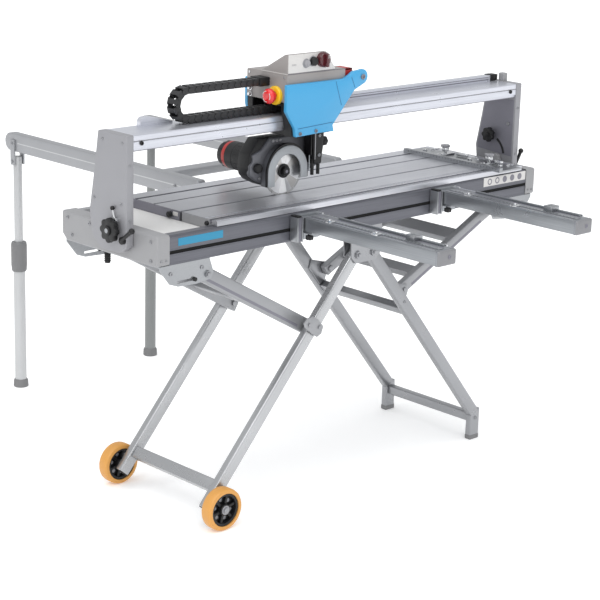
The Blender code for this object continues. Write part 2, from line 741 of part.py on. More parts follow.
def make_estop():
    y, z = 0.088, 0.955
    base = cylinder((BOX_LEFT - GAP, y, z), (0.4104, y, z), 0.0215, 32)
    cut(base, cylinder((0.4174, y, z), (0.4000, y, z), 0.0105))
    finish(base, "estop_base", "yellow", (BOX_LEFT - GAP, y, z))
    profile = [(0.0, 0.0235), (0.010, 0.0225), (0.0155, 0.0190), (0.0175, 0.0140), (0.0170, 0.0100),
               (0.0100, 0.0085), (0.0100, 0.0005), (0.0, 0.0005)]
    button = turned(profile, (0.4104, y, z), (-1, 0, 0), 24)
    finish(button, "estop_button", "red", (0.4104, y, z))


def make_panel_controls():
    face = 0.052
    for name, look, x, z, radius, reach in (
        ("start_button", "grey_plastic", 0.4745, 1.0275, 0.0085, 0.008),
        ("stop_button", "black", 0.4950, 1.031, 0.010, 0.011),
    ):
        button = cylinder((x, face + 0.0045, z), (x, face - reach, z), radius)
        finish(button, name, look, (x, face, z))
    x, z = 0.5235, 1.0330
    knob = cylinder((x, face - GAP, z), (x, 0.0275, z), 0.0175, 28, 0.0160)
    finish(knob, "selector_knob", "dark_red", (x, face, z))


def make_inlet():
    body = box((BOX_RIGHT + GAP, 0.632), (0.058, 0.100), (0.972, 1.0045), 0.002)
    hole = box((0.615, 0.640), (0.063, 0.095), (0.977, 0.9995))
    cut(body, hole)
    finish(body, "power_inlet", "red", (BOX_RIGHT, 0.079, 0.988))


CHAIN_Y = (0.1120, 0.1420)
CHAIN_BEND = (0.183, 0.9515)
CHAIN_OUTER = 0.0410
CHAIN_INNER = 0.0240


def make_chain():
    """A drag chain: a lower run on the beam, a bend, and an upper run that ends at the control box."""
    cx, cz = CHAIN_BEND
    points = arc((cx, cz), CHAIN_OUTER, 90, 270, 14)
    points += [(0.5600, cz - CHAIN_OUTER), (0.5600, cz - CHAIN_INNER)]
    points += arc((cx, cz), CHAIN_INNER, 270, 90, 12)
    chain = outline(points, "Y", *CHAIN_Y)
    finish(chain, "cable_chain", "black", (cx, 0.127, cz))
    run = box((cx + GAP, BOX_LEFT - GAP), CHAIN_Y, (cz + CHAIN_INNER, cz + CHAIN_OUTER))
    finish(run, "chain_run", "black", (BOX_LEFT, 0.127, cz + CHAIN_INNER))


# ---------------------------------------------------------------- cutting unit


def make_guide_bracket():
    plate = box((0.549, 0.585), (0.096, 0.1275), (0.778, 0.8617), 0.002)
    rods = [cylinder((x, 0.106, 0.785), (x, 0.106, 0.752), 0.0042, 14) for x in (0.556, 0.575)]
    bore = cylinder((0.582, 0.112, 0.828), (0.600, 0.112, 0.828), 0.0044)
    join(plate, *rods)
    cut(plate, bore)
    finish(plate, "guide_bracket", "black", (0.567, 0.112, 0.8617))
    knob = outline(star((0.112, 0.828), 0.0115, 6, 0.1, 5), "X", 0.588, 0.602)
    join(knob, cylinder((0.583, 0.112, 0.828), (0.596, 0.112, 0.828), 0.0040))
    finish(knob, "depth_knob", "black", (0.588, 0.112, 0.828))


def make_gear_housing():
    points = [
        (0.380, 0.782), (0.384, 0.764), (0.396, 0.752), (0.430, 0.736), (0.522, 0.736),
        (0.548, 0.752), (0.600, 0.768), (0.602, 0.815), (0.566, 0.8285), (0.548, 0.8485),
        (0.412, 0.8485), (0.385, 0.815),
    ]
    housing = outline(points, "Y", 0.1288, 0.1745)
    knob = cylinder((0.400, 0.130, 0.7825), (0.400, 0.117, 0.7825), 0.0115)
    screw = cylinder((0.4085, 0.130, 0.7565), (0.4085, 0.1235, 0.7565), 0.0045, 16)
    join(housing, knob, screw)
    finish(housing, "gear_housing", "dark_grey", (BLADE_X, 0.150, BLADE_Z))


def make_motor():
    profile = [(0.0, 0.153), (0.026, 0.153), (0.031, 0.148), (0.031, 0.132), (0.034, 0.129),
               (0.034, 0.022), (0.030, 0.018), (0.030, 0.0), (0.0, 0.0)]
    motor = turned(profile, (0.481, 0.1748, 0.777), (0, 1, 0), 28)
    finish(motor, "motor_body", "black", (0.481, 0.1748, 0.777))


def make_guard():
    """An arch over the blade: a front ring and the rim that joins it to the housing."""
    centre = (BLADE_X, BLADE_Z)
    points = [(centre[0] + 0.0660, 0.749)] + arc(centre, 0.0660, 0, 180, 22)
    points += [(centre[0] - 0.0660, 0.738), (centre[0] - 0.0430, 0.738)]
    points += arc(centre, 0.0430, 180, 0, 16) + [(centre[0] + 0.0430, 0.749)]
    guard = outline(points, "Y", 0.1060, 0.1284)
    relief = cylinder((centre[0], 0.1120, centre[1]), (centre[0], 0.1400, centre[1]), 0.0615, 40)
    below = box((centre[0] - 0.0615, centre[0] + 0.0615), (0.1120, 0.1400), (0.700, centre[1]))
    cut(guard, relief, below)
    finish(guard, "blade_guard", "guard_grey", (BLADE_X, 0.112, BLADE_Z))


def make_blade():
    centre = (BLADE_X, TILT_Y, BLADE_Z)
    points = star((BLADE_X, BLADE_Z), BLADE_RADIUS, 18, 0.02, 3)
    blade = outline(points, "Y", TILT_Y - 0.0011, TILT_Y + 0.0011)
    cut(blade, pin(BLADE_X, BLADE_Z, 0.11, 0.14, 0.0073, 24))
    finish(blade, "blade", "steel", centre)
    flange = pin(BLADE_X, BLADE_Z, 0.1180, 0.1235, 0.0165, 24)
    nut = pin(BLADE_X, BLADE_Z, 0.1085, 0.1190, 0.0115, 6)
    shaft = pin(BLADE_X, BLADE_Z, 0.1200, 0.1284, 0.0068, 24)
    join(flange, nut, shaft)
    finish(flange, "blade_flange", "black", (BLADE_X, 0.1180, BLADE_Z))


# ---------------------------------------------------------------- arms


def make_front_arm(side, x):
    end = x + ARM_WIDTH
    arm = box((x, end), (ARM_END, -0.0110), (ARM_BOTTOM, ARM_TOP), 0.002)
    hook = box((x - 0.021, end + 0.006), (-0.0115, -GAP), (0.638, 0.699), 0.001)
    rib = box((end - 0.012, end - 0.006), (ARM_END + 0.03, -0.09), (ARM_TOP - 0.002, ARM_TOP + 0.005))
    groove = box((x + 0.008, x + 0.013), (ARM_END + 0.02, -0.03), (ARM_TOP - 0.004, ARM_TOP + 0.01))
    join(arm, hook, rib)
    cut(arm, groove)
    finish(arm, side + "_front_arm", "pale_aluminium", (x + ARM_WIDTH / 2, -GAP, 0.6675))
    y0, y1 = (-0.338, -0.313)
    stop = box((end - 0.030, end - 0.001), (y0, y1), (ARM_TOP + GAP, ARM_TOP + 0.014), 0.0015)
    cut(stop, box((end - 0.0125, end - 0.0055), (y0 - 0.01, y1 + 0.01), (ARM_TOP - 0.01, ARM_TOP + 0.0055)))
    finish(stop, side + "_arm_stop", "zinc", (end - 0.015, (y0 + y1) / 2, ARM_TOP))
    centre = (x + 0.012, -0.032)
    knob = outline(star(centre, 0.0090, 6, 0.12, 5), "Z", 0.6420, 0.6520)
    join(knob, cylinder((*centre, 0.6500), (*centre, ARM_BOTTOM - GAP), 0.0045, 16))
    finish(knob, side + "_arm_knob", "black", (*centre, ARM_BOTTOM - GAP))


def make_extension_arm(side, x):
    y0 = BASE_WIDTH + GAP
    middle = (EXT_TOP + EXT_BOTTOM) / 2
    half = (EXT_TOP - EXT_BOTTOM) / 2
    points = [(y0, EXT_BOTTOM)]
    points += arc((EXT_END - half, middle), half, -90, 90, 10) + [(y0, EXT_TOP)]
    points = [(y0, RAIL_BOTTOM + 0.004), (y0 + 0.012, RAIL_BOTTOM + 0.004), (y0 + 0.030, EXT_BOTTOM)] + points[1:-1]
    points += [(y0, EXT_TOP - 0.016)]
    points.insert(-1, (y0 + 0.012, EXT_TOP))
    arm = outline(points, "X", x, x + 0.025)
    ears = []
    for a, b in ((x - 0.005, x + 0.0005), (x + 0.0245, x + 0.030)):
        ears.append(box((a, b), (EXT_LEG_Y - 0.014, EXT_LEG_Y + 0.014), (0.624, 0.700), 0.001))
    pivot = cylinder((x - 0.0075, EXT_LEG_Y, EXT_PIVOT_Z), (x + 0.0325, EXT_LEG_Y, EXT_PIVOT_Z), 0.004, 16)
    join(arm, *ears, pivot)
    finish(arm, f"rear_{side}_arm", "silver", (x + 0.0125, BASE_WIDTH, 0.6915))


def make_extension_leg(side, x):
    cx = x + 0.0125
    upper = cylinder((cx, EXT_LEG_Y, 0.270), (cx, EXT_LEG_Y, 0.6530), 0.0118, 20)
    cut(upper, cylinder((cx - 0.02, EXT_LEG_Y, EXT_PIVOT_Z), (cx + 0.02, EXT_LEG_Y, EXT_PIVOT_Z), 0.0045, 16))
    finish(upper, f"rear_{side}_leg_upper", "silver", (cx, EXT_LEG_Y, EXT_PIVOT_Z))
    profile = [
        (0.0123, 0.4150), (0.0195, 0.4150), (0.0215, 0.4100), (0.0215, 0.3480), (0.0205, 0.3340),
        (0.0160, 0.3330), (0.0160, 0.0220), (0.0195, 0.0200), (0.0205, 0.0), (0.0, 0.0),
        (0.0, 0.0300), (0.0123, 0.0300), (0.0123, 0.4150),
    ]
    lower = turned(profile, (cx, EXT_LEG_Y, 0.0), (0, 0, 1), 20)
    finish(lower, f"rear_{side}_leg_lower", "silver", (cx, EXT_LEG_Y, 0.3330))


def make_crossbar():
    x = (EXT_LEFT_X + 0.025 + GAP, EXT_RIGHT_X - GAP)
    bar_shape = box(x, (0.560, 0.600), (0.668, 0.690), 0.002)
    finish(bar_shape, "rear_crossbar", "silver", ((x[0] + x[1]) / 2, 0.580, 0.679))


# ---------------------------------------------------------------- assembly


def parent_to(parent, *children):
    for name in children:
        child = MADE[name]
        child.parent = MADE[parent]
        child.matrix_parent_inverse = Matrix.Translation(-MADE[parent].location)


def set_origin():
    """Moves everything so that the origin is under the centre of the whole box."""
    left, right = -0.0515, BASE_LENGTH + 0.0350
    front, rear = ARM_END, EXT_END
    shift = Vector(((left + right) / 2, (front + rear) / 2, 0.0))
    for obj in list(MADE.values()) + HELPERS:
        obj.location = obj.location - shift


def assemble():
    parent_to("bridge_beam", "left_upright", "right_upright", "carriage_saddle", "cable_chain")
    parent_to("carriage_saddle", "control_box", "head_cover", "rear_cover", "handle_bar", "estop_base",
              "chain_run")
    parent_to("gear_housing", "motor_body", "blade_guard", "blade_flange")
    parent_to("blade_flange", "blade")


def main():
    make_rails()
    make_end_covers()
    make_water_tray()
    make_tables()
    make_fence()
    make_brackets()
    make_stand_hub()
    make_left_legs()
    make_right_legs()
    make_braces("left_brace_frame", LEFT_ELBOW, LEFT_ANCHOR, 0.036, ((0.130, 0.030),))
    make_braces("right_brace_frame", RIGHT_ELBOW, RIGHT_ANCHOR, 0.028, ((0.050, 0.030), (0.205, 0.040)))
    make_wheel("front")
    make_wheel("rear")
    make_uprights()
    make_beam()
    make_tilt_knob()
    make_stop_knob()
    make_tilt_lever()
    make_lock_lever("left")
    make_lock_lever("right")
    make_saddle()
    make_control_box()
    make_head_covers()
    make_estop()
    make_panel_controls()
    make_inlet()
    make_chain()
    make_guide_bracket()
    make_gear_housing()
    make_motor()
    make_guard()
    make_blade()
    make_front_arm("left", LEFT_ARM_X)
    make_front_arm("right", RIGHT_ARM_X)
    make_extension_arm("left", EXT_LEFT_X)
    make_extension_arm("right", EXT_RIGHT_X)
    make_extension_leg("left", EXT_LEFT_X)
    make_extension_leg("right", EXT_RIGHT_X)
    make_crossbar()
    set_origin()
    assemble()


clear_scene()
TILE_CUTTER, CUTTERS = make_collections()
main()
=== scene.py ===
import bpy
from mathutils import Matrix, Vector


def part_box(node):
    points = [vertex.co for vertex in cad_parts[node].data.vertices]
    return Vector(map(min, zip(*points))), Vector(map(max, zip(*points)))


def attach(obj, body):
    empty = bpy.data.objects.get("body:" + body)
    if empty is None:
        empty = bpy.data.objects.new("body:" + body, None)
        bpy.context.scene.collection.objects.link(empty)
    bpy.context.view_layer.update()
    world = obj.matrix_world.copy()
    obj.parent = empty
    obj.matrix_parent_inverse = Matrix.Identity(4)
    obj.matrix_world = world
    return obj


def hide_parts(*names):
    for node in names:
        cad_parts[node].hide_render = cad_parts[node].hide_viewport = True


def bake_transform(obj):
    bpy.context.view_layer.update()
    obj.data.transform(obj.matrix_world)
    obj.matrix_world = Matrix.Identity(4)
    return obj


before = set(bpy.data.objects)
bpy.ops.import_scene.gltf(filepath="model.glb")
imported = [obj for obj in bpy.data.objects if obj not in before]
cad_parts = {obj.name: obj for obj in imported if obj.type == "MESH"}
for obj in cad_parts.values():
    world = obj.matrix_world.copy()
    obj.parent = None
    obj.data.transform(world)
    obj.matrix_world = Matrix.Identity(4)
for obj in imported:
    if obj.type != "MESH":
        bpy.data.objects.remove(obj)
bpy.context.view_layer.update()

import math

import bmesh
import bpy
from mathutils import Matrix, Vector

# Shapes are given in millimetres from the base's left front corner on the floor: X along the rails,
# Y back from the front rail's face, Z up. The corner, in metres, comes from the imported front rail.
MM = 0.001
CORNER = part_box("front_rail")[0] - Vector((0.0353, 0.0, 0.636))
LENGTH = 1255
WIDTH = 332

# Each end of the base: its name, the X that lies a distance in from it, and the way out.
ENDS = (("left", lambda x: x, -1), ("right", lambda x: LENGTH - x, 1))
# Each long face of the base, front then rear: the Y that lies a distance in from it, and the way out.
FACES = ((lambda y: y, -1), (lambda y: WIDTH - y, 1))


def extent(node):
    low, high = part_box(node)
    return (low - CORNER) / MM, (high - CORNER) / MM


def metres(point):
    return Vector([value * MM for value in point])


# ---------------------------------------------------------------- materials


def linear(value):
    value /= 255.0
    return value / 12.92 if value <= 0.04045 else ((value + 0.055) / 1.055) ** 2.4


def tint(colour, factor=1.0):
    return tuple(min(1.0, linear(c) * factor) for c in colour) + (1.0,)


def grey(value):
    return (value, value, value, 1.0)


def look(slot, name, colour, rough, metal, grain, vary, along=None, coat=0.0, dirt=0.0, rings=None,
         painted_end_shade=None):
    """A slot and its procedural material: colour drift, fine grain or drawn streaks, uneven roughness, and
    optionally painted shade towards one end and painted reflection sectors.
    """
    material = bpy.data.materials.new(name)
    material.use_nodes = True
    nodes, links = material.node_tree.nodes, material.node_tree.links
    shader = nodes["Principled BSDF"]

    def feed(node, **inputs):
        """Sets a node's inputs by name, or links those given as another node's output."""
        for key, value in inputs.items():
            socket = node.inputs[key.replace("_", " ")]
            if isinstance(value, bpy.types.NodeSocket):
                links.new(value, socket)
            else:
                socket.default_value = value

    def add(kind, output, settings=(), **inputs):
        node = nodes.new("ShaderNode" + kind)
        for key, value in settings:
            setattr(node, key, value)
        feed(node, **inputs)
        return node.outputs[output]

    def noise(scale, stretch=(1.0, 1.0, 1.0), detail=3.0):
        spot = add("Mapping", "Vector", Vector=place, Scale=stretch)
        return add("TexNoise", "Fac", Vector=spot, Scale=scale, Detail=detail)

    def ramp(source, *stops):
        node = nodes.new("ShaderNodeValToRGB")
        points = node.color_ramp.elements
        while len(points) < len(stops):
            points.new(0.5)
        for point, (position, value) in zip(points, stops):
            point.position = position
            point.color = value
        links.new(source, node.inputs["Fac"])
        return node.outputs["Color"]

    def mix(a, b, factor, mode="MIX"):
        return add("Mix", "Result", (("data_type", "RGBA"), ("blend_type", mode)), A=a, B=b, Factor=factor)

    place = add("TexCoord", "Object")
    result = ramp(noise(3.5), (0.3, tint(colour, 1.0 - vary)), (0.7, tint(colour, 1.0 + vary)))
    if along:
        stretch = {"X": (0.9, 60.0, 60.0), "Y": (60.0, 0.9, 60.0)}[along]
        fine = noise(9.0, stretch, 5.0)
        result = mix(result, ramp(fine, (0.3, tint(colour, 0.8)), (0.7, tint(colour, 1.16))), 0.45)
    else:
        fine = noise(grain[0])
        result = mix(result, ramp(fine, (0.3, tint(colour, 0.9)), (0.7, tint(colour, 1.08))), 0.35)
    if dirt:
        marks = ramp(noise(14.0, detail=8.0), (0.3, grey(dirt)), (0.52, grey(1.0)))
        result = mix(result, marks, 0.55, "MULTIPLY")
    if painted_end_shade:        # painted shade, darker towards one end: from X, to X, how dark
        start, end, darkest = painted_end_shade
        spot = add("SeparateXYZ", "X", Vector=place)
        span = add("MapRange", "Result", Value=spot, From_Min=CORNER.x + start * MM,
                   From_Max=CORNER.x + end * MM)
        result = mix(result, ramp(span, (0.0, grey(darkest)), (1.0, grey(1.0))), 1.0, "MULTIPLY")
    if rings:       # turned rings about Y through this point, with a painted fan of reflection sectors
        shift = add("Mapping", "Vector", Vector=place, Location=-(CORNER + Vector(rings) * MM))
        fine = add("TexWave", "Fac", (("wave_type", "RINGS"), ("rings_direction", "Y")), Vector=shift,
                   Scale=160.0, Distortion=1.5)
        result = mix(result, ramp(fine, (0.1, tint(colour, 0.78)), (0.9, tint(colour, 1.15))), 0.4)
        stand = add("Mapping", "Vector", Vector=shift, Rotation=(math.pi / 2, 0.0, 0.0))
        painted_reflection_fan = add("TexGradient", "Fac", (("gradient_type", "RADIAL"),), Vector=stand)
        # sheen: painted reflection, bright and dark sectors round the blade
        sheen = ((0.0, 0.6), (0.1, 1.0), (0.2, 0.55), (0.34, 1.0), (0.46, 0.55), (0.58, 0.95), (0.7, 0.5),
                 (0.8, 1.0), (0.9, 0.6))
        result = mix(result, ramp(painted_reflection_fan, *((at, grey(value)) for at, value in sheen)), 0.75, "MULTIPLY")
        tangent = add("Tangent", "Tangent", (("direction_type", "RADIAL"), ("axis", "Y")))
        feed(shader, Tangent=tangent, Anisotropic=0.7)
    spread = add("MapRange", "Result", Value=noise(22.0, detail=6.0), To_Min=max(0.04, rough - 0.08),
                 To_Max=min(1.0, rough + 0.08))
    bump = add("Bump", "Normal", Height=fine, Strength=grain[1] * (0.6 if along else 1.0), Distance=0.0006)
    feed(shader, Metallic=metal, Base_Color=result, Roughness=spread, Normal=bump)
    if coat:
        feed(shader, Coat_Weight=coat, Coat_Roughness=0.12)
    return slot, material


LOOKS = {
    "silver": look("silver", "silver_powder_coat", (158, 159, 162), 0.42, 0.5, (1400.0, 0.1), 0.08),
    "tube": look("zinc", "tube_silver", (154, 155, 158), 0.3, 0.8, (900.0, 0.08), 0.1),
    # painted light: a lighter copy of the tube silver for the left legs
    "tube_painted_light": look("silver", "tube_painted_light", (182, 183, 185), 0.28, 0.8, (900.0, 0.08), 0.1),
    # painted shade: a darker copy of the leg silver for the right rear leg
    "leg_painted_shade": look("silver", "leg_silver_painted_shade", (134, 136, 136), 0.34, 0.6, (1100.0, 0.08), 0.08),
    "upright": look("silver", "upright_grey", (150, 150, 154), 0.5, 0.25, (1600.0, 0.12), 0.05),
    "light_grey": look("light_grey", "cover_grey", (150, 150, 152), 0.48, 0.1, (1500.0, 0.14), 0.05),
    "beam": look("pale_aluminium", "anodised_beam", (208, 210, 218), 0.3, 0.7, (1.0, 0.12), 0.05, along="X"),
    # the table silver carries painted shade that darkens it towards its left end
    "table": look("pale_aluminium", "drawn_table", (208, 209, 215), 0.34, 0.8,
                  (1.0, 0.25), 0.12, along="X", painted_end_shade=(160, 480, 0.6)),
    "arm": look("pale_aluminium", "drawn_arm", (148, 151, 155), 0.3, 0.8, (1.0, 0.2), 0.1, along="Y"),
    "rail": look("dark_grey", "rail_grey", (104, 105, 112), 0.38, 0.6, (1.0, 0.2), 0.1, along="X"),
    "rail_light": look("dark_grey", "end_cap_grey", (132, 132, 135), 0.42, 0.2, (1200.0, 0.1), 0.05),
    "inner": look("dark_grey", "inner_dark_grey", (128, 127, 136), 0.48, 0.35, (1300.0, 0.1), 0.08),
    "zinc": look("zinc", "zinc_plate", (158, 160, 163), 0.3, 0.85, (260.0, 0.1), 0.12),
    "chrome": look("zinc", "bright_steel", (215, 216, 218), 0.16, 1.0, (500.0, 0.03), 0.05),
    # blade steel: real turned rings plus a painted reflection fan
    "steel": look("steel", "blade_steel", (246, 246, 247), 0.3, 0.9,
                  (1.0, 0.08), 0.04, rings=(480, 125, 768)),
    "rim": look("steel", "diamond_rim", (186, 186, 186), 0.55, 0.4, (1200.0, 0.2), 0.15),
    "guard": look("guard_grey", "guard_paint", (166, 170, 174), 0.42, 0.15, (1100.0, 0.1), 0.05),
    "cast": look("dark_grey", "cast_grey", (106, 107, 112), 0.42, 0.45, (500.0, 0.25), 0.1, dirt=0.7),
    "blue": look("blue", "sky_blue_paint", (62, 158, 208), 0.34, 0.0, (1200.0, 0.1), 0.05, coat=0.25),
    "warm_grey": look("warm_grey", "case_warm_grey", (150, 145, 143), 0.46, 0.05, (1300.0, 0.14), 0.05),
    "white": look("light_grey", "panel_white", (206, 204, 202), 0.38, 0.0, (1400.0, 0.06), 0.03),
    "black": look("black", "black_plastic", (15, 15, 17), 0.5, 0.0, (1000.0, 0.25), 0.25),
    "satin_black": look("black", "satin_black", (17, 17, 19), 0.46, 0.1, (700.0, 0.2), 0.2),
    "chain": look("black", "chain_black", (38, 38, 40), 0.48, 0.0, (600.0, 0.35), 0.3, dirt=0.6),
    "yellow": look("yellow", "stop_yellow", (243, 196, 36), 0.34, 0.0, (900.0, 0.08), 0.05, coat=0.3),
    "amber": look("amber", "amber_tread", (216, 156, 78), 0.44, 0.0, (420.0, 0.22), 0.1),
    "red": look("red", "mushroom_red", (222, 40, 44), 0.26, 0.0, (900.0, 0.06), 0.06, coat=0.5),
    "motor_red": look("red", "cap_red", (168, 42, 38), 0.4, 0.0, (800.0, 0.15), 0.1),
    "dark_red": look("dark_red", "selector_red", (74, 16, 24), 0.26, 0.0, (700.0, 0.1), 0.2, coat=0.5),
    "grey_plastic": look("grey_plastic", "button_grey", (150, 150, 154), 0.36, 0.1, (900.0, 0.1), 0.08),
    "collar": look("silver", "collar_plastic", (118, 118, 119), 0.45, 0.1, (600.0, 0.2), 0.08),
    "rubber": look("black", "foot_rubber", (42, 42, 44), 0.72, 0.0, (500.0, 0.4), 0.2),
    "leg_light": look("silver", "leg_silver_light", (190, 191, 192), 0.42, 0.45, (1100.0, 0.08), 0.07),
    "foot_grey": look("black", "foot_grey", (120, 120, 121), 0.55, 0.1, (700.0, 0.2), 0.12),
    # painted shadow for the rail slots
    "slot_painted_shadow": look("black", "slot_shadow", (5, 5, 6), 0.95, 0.0, (600.0, 0.1), 0.1),
    # painted shade for the creases of the blue covers
    "crease_painted_shade": look("blue", "crease_painted_shade", (30, 108, 152), 0.4, 0.0, (900.0, 0.06), 0.05),
    "deck": look("light_grey", "deck_pale", (222, 221, 219), 0.5, 0.05, (1200.0, 0.12), 0.05),
    # shaded and lit copies of the blade steel, laid on the blade as painted reflection sectors
    "steel_painted_shade": look("steel", "blade_shade", (196, 194, 192), 0.34, 0.8, (500.0, 0.05), 0.1),
    "steel_painted_shine": look("steel", "blade_shine", (252, 252, 252), 0.42, 0.3, (500.0, 0.05), 0.03),
    "strip_blue": look("blue", "strip_blue", (40, 134, 170), 0.34, 0.1, (900.0, 0.06), 0.08),
}


# ---------------------------------------------------------------- shapes


class Shape:
    """Collects closed solids that become one piece, which rides on a body and may replace a CAD node."""

    made = []

    def __init__(self, name, body, material, cad=None, slot=None, blend=None):
        self.bm = bmesh.new()
        self.name, self.body, self.cad, self.blend = name, body, cad, blend
        self.slot, self.material = LOOKS[material]
        self.slot = slot or self.slot
        Shape.made.append(self)

    def take(self, part, bevel=0, segments=2, angle=25, only=None):
        bmesh.ops.recalc_face_normals(part, faces=part.faces[:])
        if bevel:
            sharp = math.radians(angle)
            edges = [e for e in part.edges if e.calc_face_angle(0.0) > sharp and (only is None or only(e))]
            bmesh.ops.bevel(part, geom=edges, offset=bevel * MM, segments=segments, profile=0.5,
                            affect="EDGES", clamp_overlap=True)
        mesh = bpy.data.meshes.new("part")
        part.to_mesh(mesh)
        part.free()
        self.bm.from_mesh(mesh)
        bpy.data.meshes.remove(mesh)
        return self

    def box(self, x, y, z, bevel=0, segments=2, turn=None, only=None):
        low, high = metres(map(min, (x, y, z))), metres(map(max, (x, y, z)))
        part = bmesh.new()
        size = Matrix.Diagonal((*(high - low), 1.0))
        bmesh.ops.create_cube(part, size=1.0, matrix=Matrix.Translation((low + high) / 2) @ size)
        if turn is not None:
            turn = turn.copy()
            turn.translation *= MM
            bmesh.ops.transform(part, matrix=turn, verts=part.verts[:])
        return self.take(part, bevel, segments, only=only)

    def rod(self, a, b, radius, sides=20, end=None, bevel=0, segments=2):
        a, b = metres(a), metres(b)
        end = radius if end is None else end
        part = bmesh.new()
        bmesh.ops.create_cone(part, cap_ends=True, segments=sides, radius1=radius * MM, radius2=end * MM,
                              depth=(b - a).length, matrix=facing((a + b) / 2, b - a))
        return self.take(part, bevel, segments, 50)

    def ball(self, centre, radius, sides=20):
        part = bmesh.new()
        bmesh.ops.create_uvsphere(part, u_segments=sides, v_segments=sides // 2, radius=radius * MM,
                                  matrix=Matrix.Translation(metres(centre)))
        return self.take(part)

    def turned(self, profile, origin, direction, sides=32):
        """Turns (radius, height) points about an axis; a profile that ends where it starts is a ring."""
        turn = facing(metres(origin), direction)
        part = bmesh.new()
        closed = profile[0] == profile[-1]
        rings = []
        for radius, height in profile[:-1] if closed else profile:
            corners = circle((0, 0), radius * MM, sides) if radius else [(0, 0)]
            rings.append([part.verts.new(turn @ Vector((x, y, height * MM))) for x, y in corners])
        pairs = list(zip(rings, rings[1:])) + ([(rings[-1], rings[0])] if closed else [])
        for a, b in pairs:
            for i in range(sides):
                j = (i + 1) % sides
                loop = []
                for v in (a[i % len(a)], a[j % len(a)], b[j % len(b)], b[i % len(b)]):
                    if v not in loop:
                        loop.append(v)
                if len(loop) > 2:
                    part.faces.new(loop)
        return self.take(part)

    def prism(self, points, axis, low, high, bevel=0, segments=2, angle=25, only=None):
        """A flat outline pushed along an axis; its two coordinates are (y, z), (x, z) or (x, y)."""
        def place(a, b, c):
            return {"X": (c, a, b), "Y": (a, c, b), "Z": (a, b, c)}[axis]
        low, high = sorted((low, high))
        return self.loft([place(a, b, low) for a, b in points], [place(a, b, high) for a, b in points],
                         bevel, segments, angle, only)

    def loft(self, near, far, bevel=0, segments=2, angle=25, only=None):
        """Two outlines of the same number of corners, joined by flat sides."""
        part = bmesh.new()
        near, far = [[part.verts.new(metres(p)) for p in outline] for outline in (near, far)]
        part.faces.new(near)
        part.faces.new(far)
        for i in range(len(near)):
            j = (i + 1) % len(near)
            part.faces.new((near[i], near[j], far[j], far[i]))
        return self.take(part, bevel, segments, angle, only)

    def bar(self, start, end, wide, y, before=0, after=0, bevel=3.5, segments=3):
        """A straight tube in an XZ plane between two (x, z) points."""
        a, b = Vector((start[0], 0.0, start[1])), Vector((end[0], 0.0, end[1]))
        along = (b - a).normalized()
        a, b = a - along * before, b + along * after
        turn = Matrix.Translation(a) @ Matrix.Rotation(-math.atan2(along.z, along.x), 4, "Y")
        return self.box((0.0, (b - a).length), y, (-wide / 2, wide / 2), bevel, segments, turn)

    def screw(self, centre, direction, r, height=None):
        """A socket head screw that stands on a face."""
        h = r * 0.9 if height is None else height
        profile = [(0, h * 0.45), (r * 0.48, h * 0.45), (r * 0.52, h * 0.98), (r * 0.86, h), (r, h * 0.82),
                   (r, -0.4), (0, -0.4)]
        return self.turned(profile, centre, direction, 18)

    def bolt(self, centre, direction, radius, height=None):
        """A hexagon head on a washer."""
        h = radius * 0.75 if height is None else height
        d, c = Vector(direction), Vector(centre)
        self.rod(c - d * 0.4, c + d * h * 0.22, radius * 1.35, 24, bevel=h * 0.06, segments=1)
        part = bmesh.new()
        bmesh.ops.create_cone(part, cap_ends=True, segments=6, radius1=radius * MM, radius2=radius * MM,
                              depth=h * MM, matrix=facing(metres(c + d * h * 0.6), d))
        return self.take(part, h * 0.14, 2)

    def finish(self):
        bmesh.ops.translate(self.bm, vec=CORNER, verts=self.bm.verts[:])
        mesh = bpy.data.meshes.new(self.name)
        self.bm.to_mesh(mesh)
        self.bm.free()
        mesh.materials.append(self.material)
        mesh.shade_smooth()
        mesh.set_sharp_from_angle(angle=math.radians(34.0))
        obj = bpy.data.objects.new(self.name, mesh)
        bpy.context.scene.collection.objects.link(obj)
        if self.blend:
            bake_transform(obj)
        else:
            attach(obj, self.body)
        if self.cad:
            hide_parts(self.cad)


def facing(origin, direction):
    """A frame at origin whose Z points along direction."""
    turn = Vector(direction).to_track_quat("Z", "Y").to_matrix().to_4x4()
    return Matrix.Translation(Vector(origin)) @ turn


def about_y(centre, angle):
    """A frame turned about Y at an (x, z) centre, so that its X points at that angle."""
    return Matrix.Translation((centre[0], 0.0, centre[1])) @ Matrix.Rotation(-angle, 4, "Y")


def polar(centre, radius, angle):
    return centre[0] + radius * math.cos(angle), centre[1] + radius * math.sin(angle)


def circle(centre, radius, count, start=0.0):
    return [polar(centre, radius, 2 * math.pi * i / count + start) for i in range(count)]


def arc(centre, radius, start, end, count):
    step = (end - start) / count
    return [polar(centre, radius, math.radians(start + step * i)) for i in range(count + 1)]


def lobes(centre, radius, count, depth=0.16, steps=10):
    points = []
    for i in range(count * steps):
        angle = 2 * math.pi * i / (count * steps)
        dip = (0.5 - 0.5 * math.cos(count * angle)) ** 1.6
        points.append(polar(centre, radius * (1.0 - depth * dip), angle))
    return points


def dress(material, *names):
    """Gives CAD nodes that stay their finished material."""
    for name in names:
        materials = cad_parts[name].data.materials
        materials.clear()
        materials.append(LOOKS[material][1])


# ---------------------------------------------------------------- camera, light and floor


def put(name, data):
    obj = bpy.data.objects.new(name, data)
    bpy.context.scene.collection.objects.link(obj)
    return obj


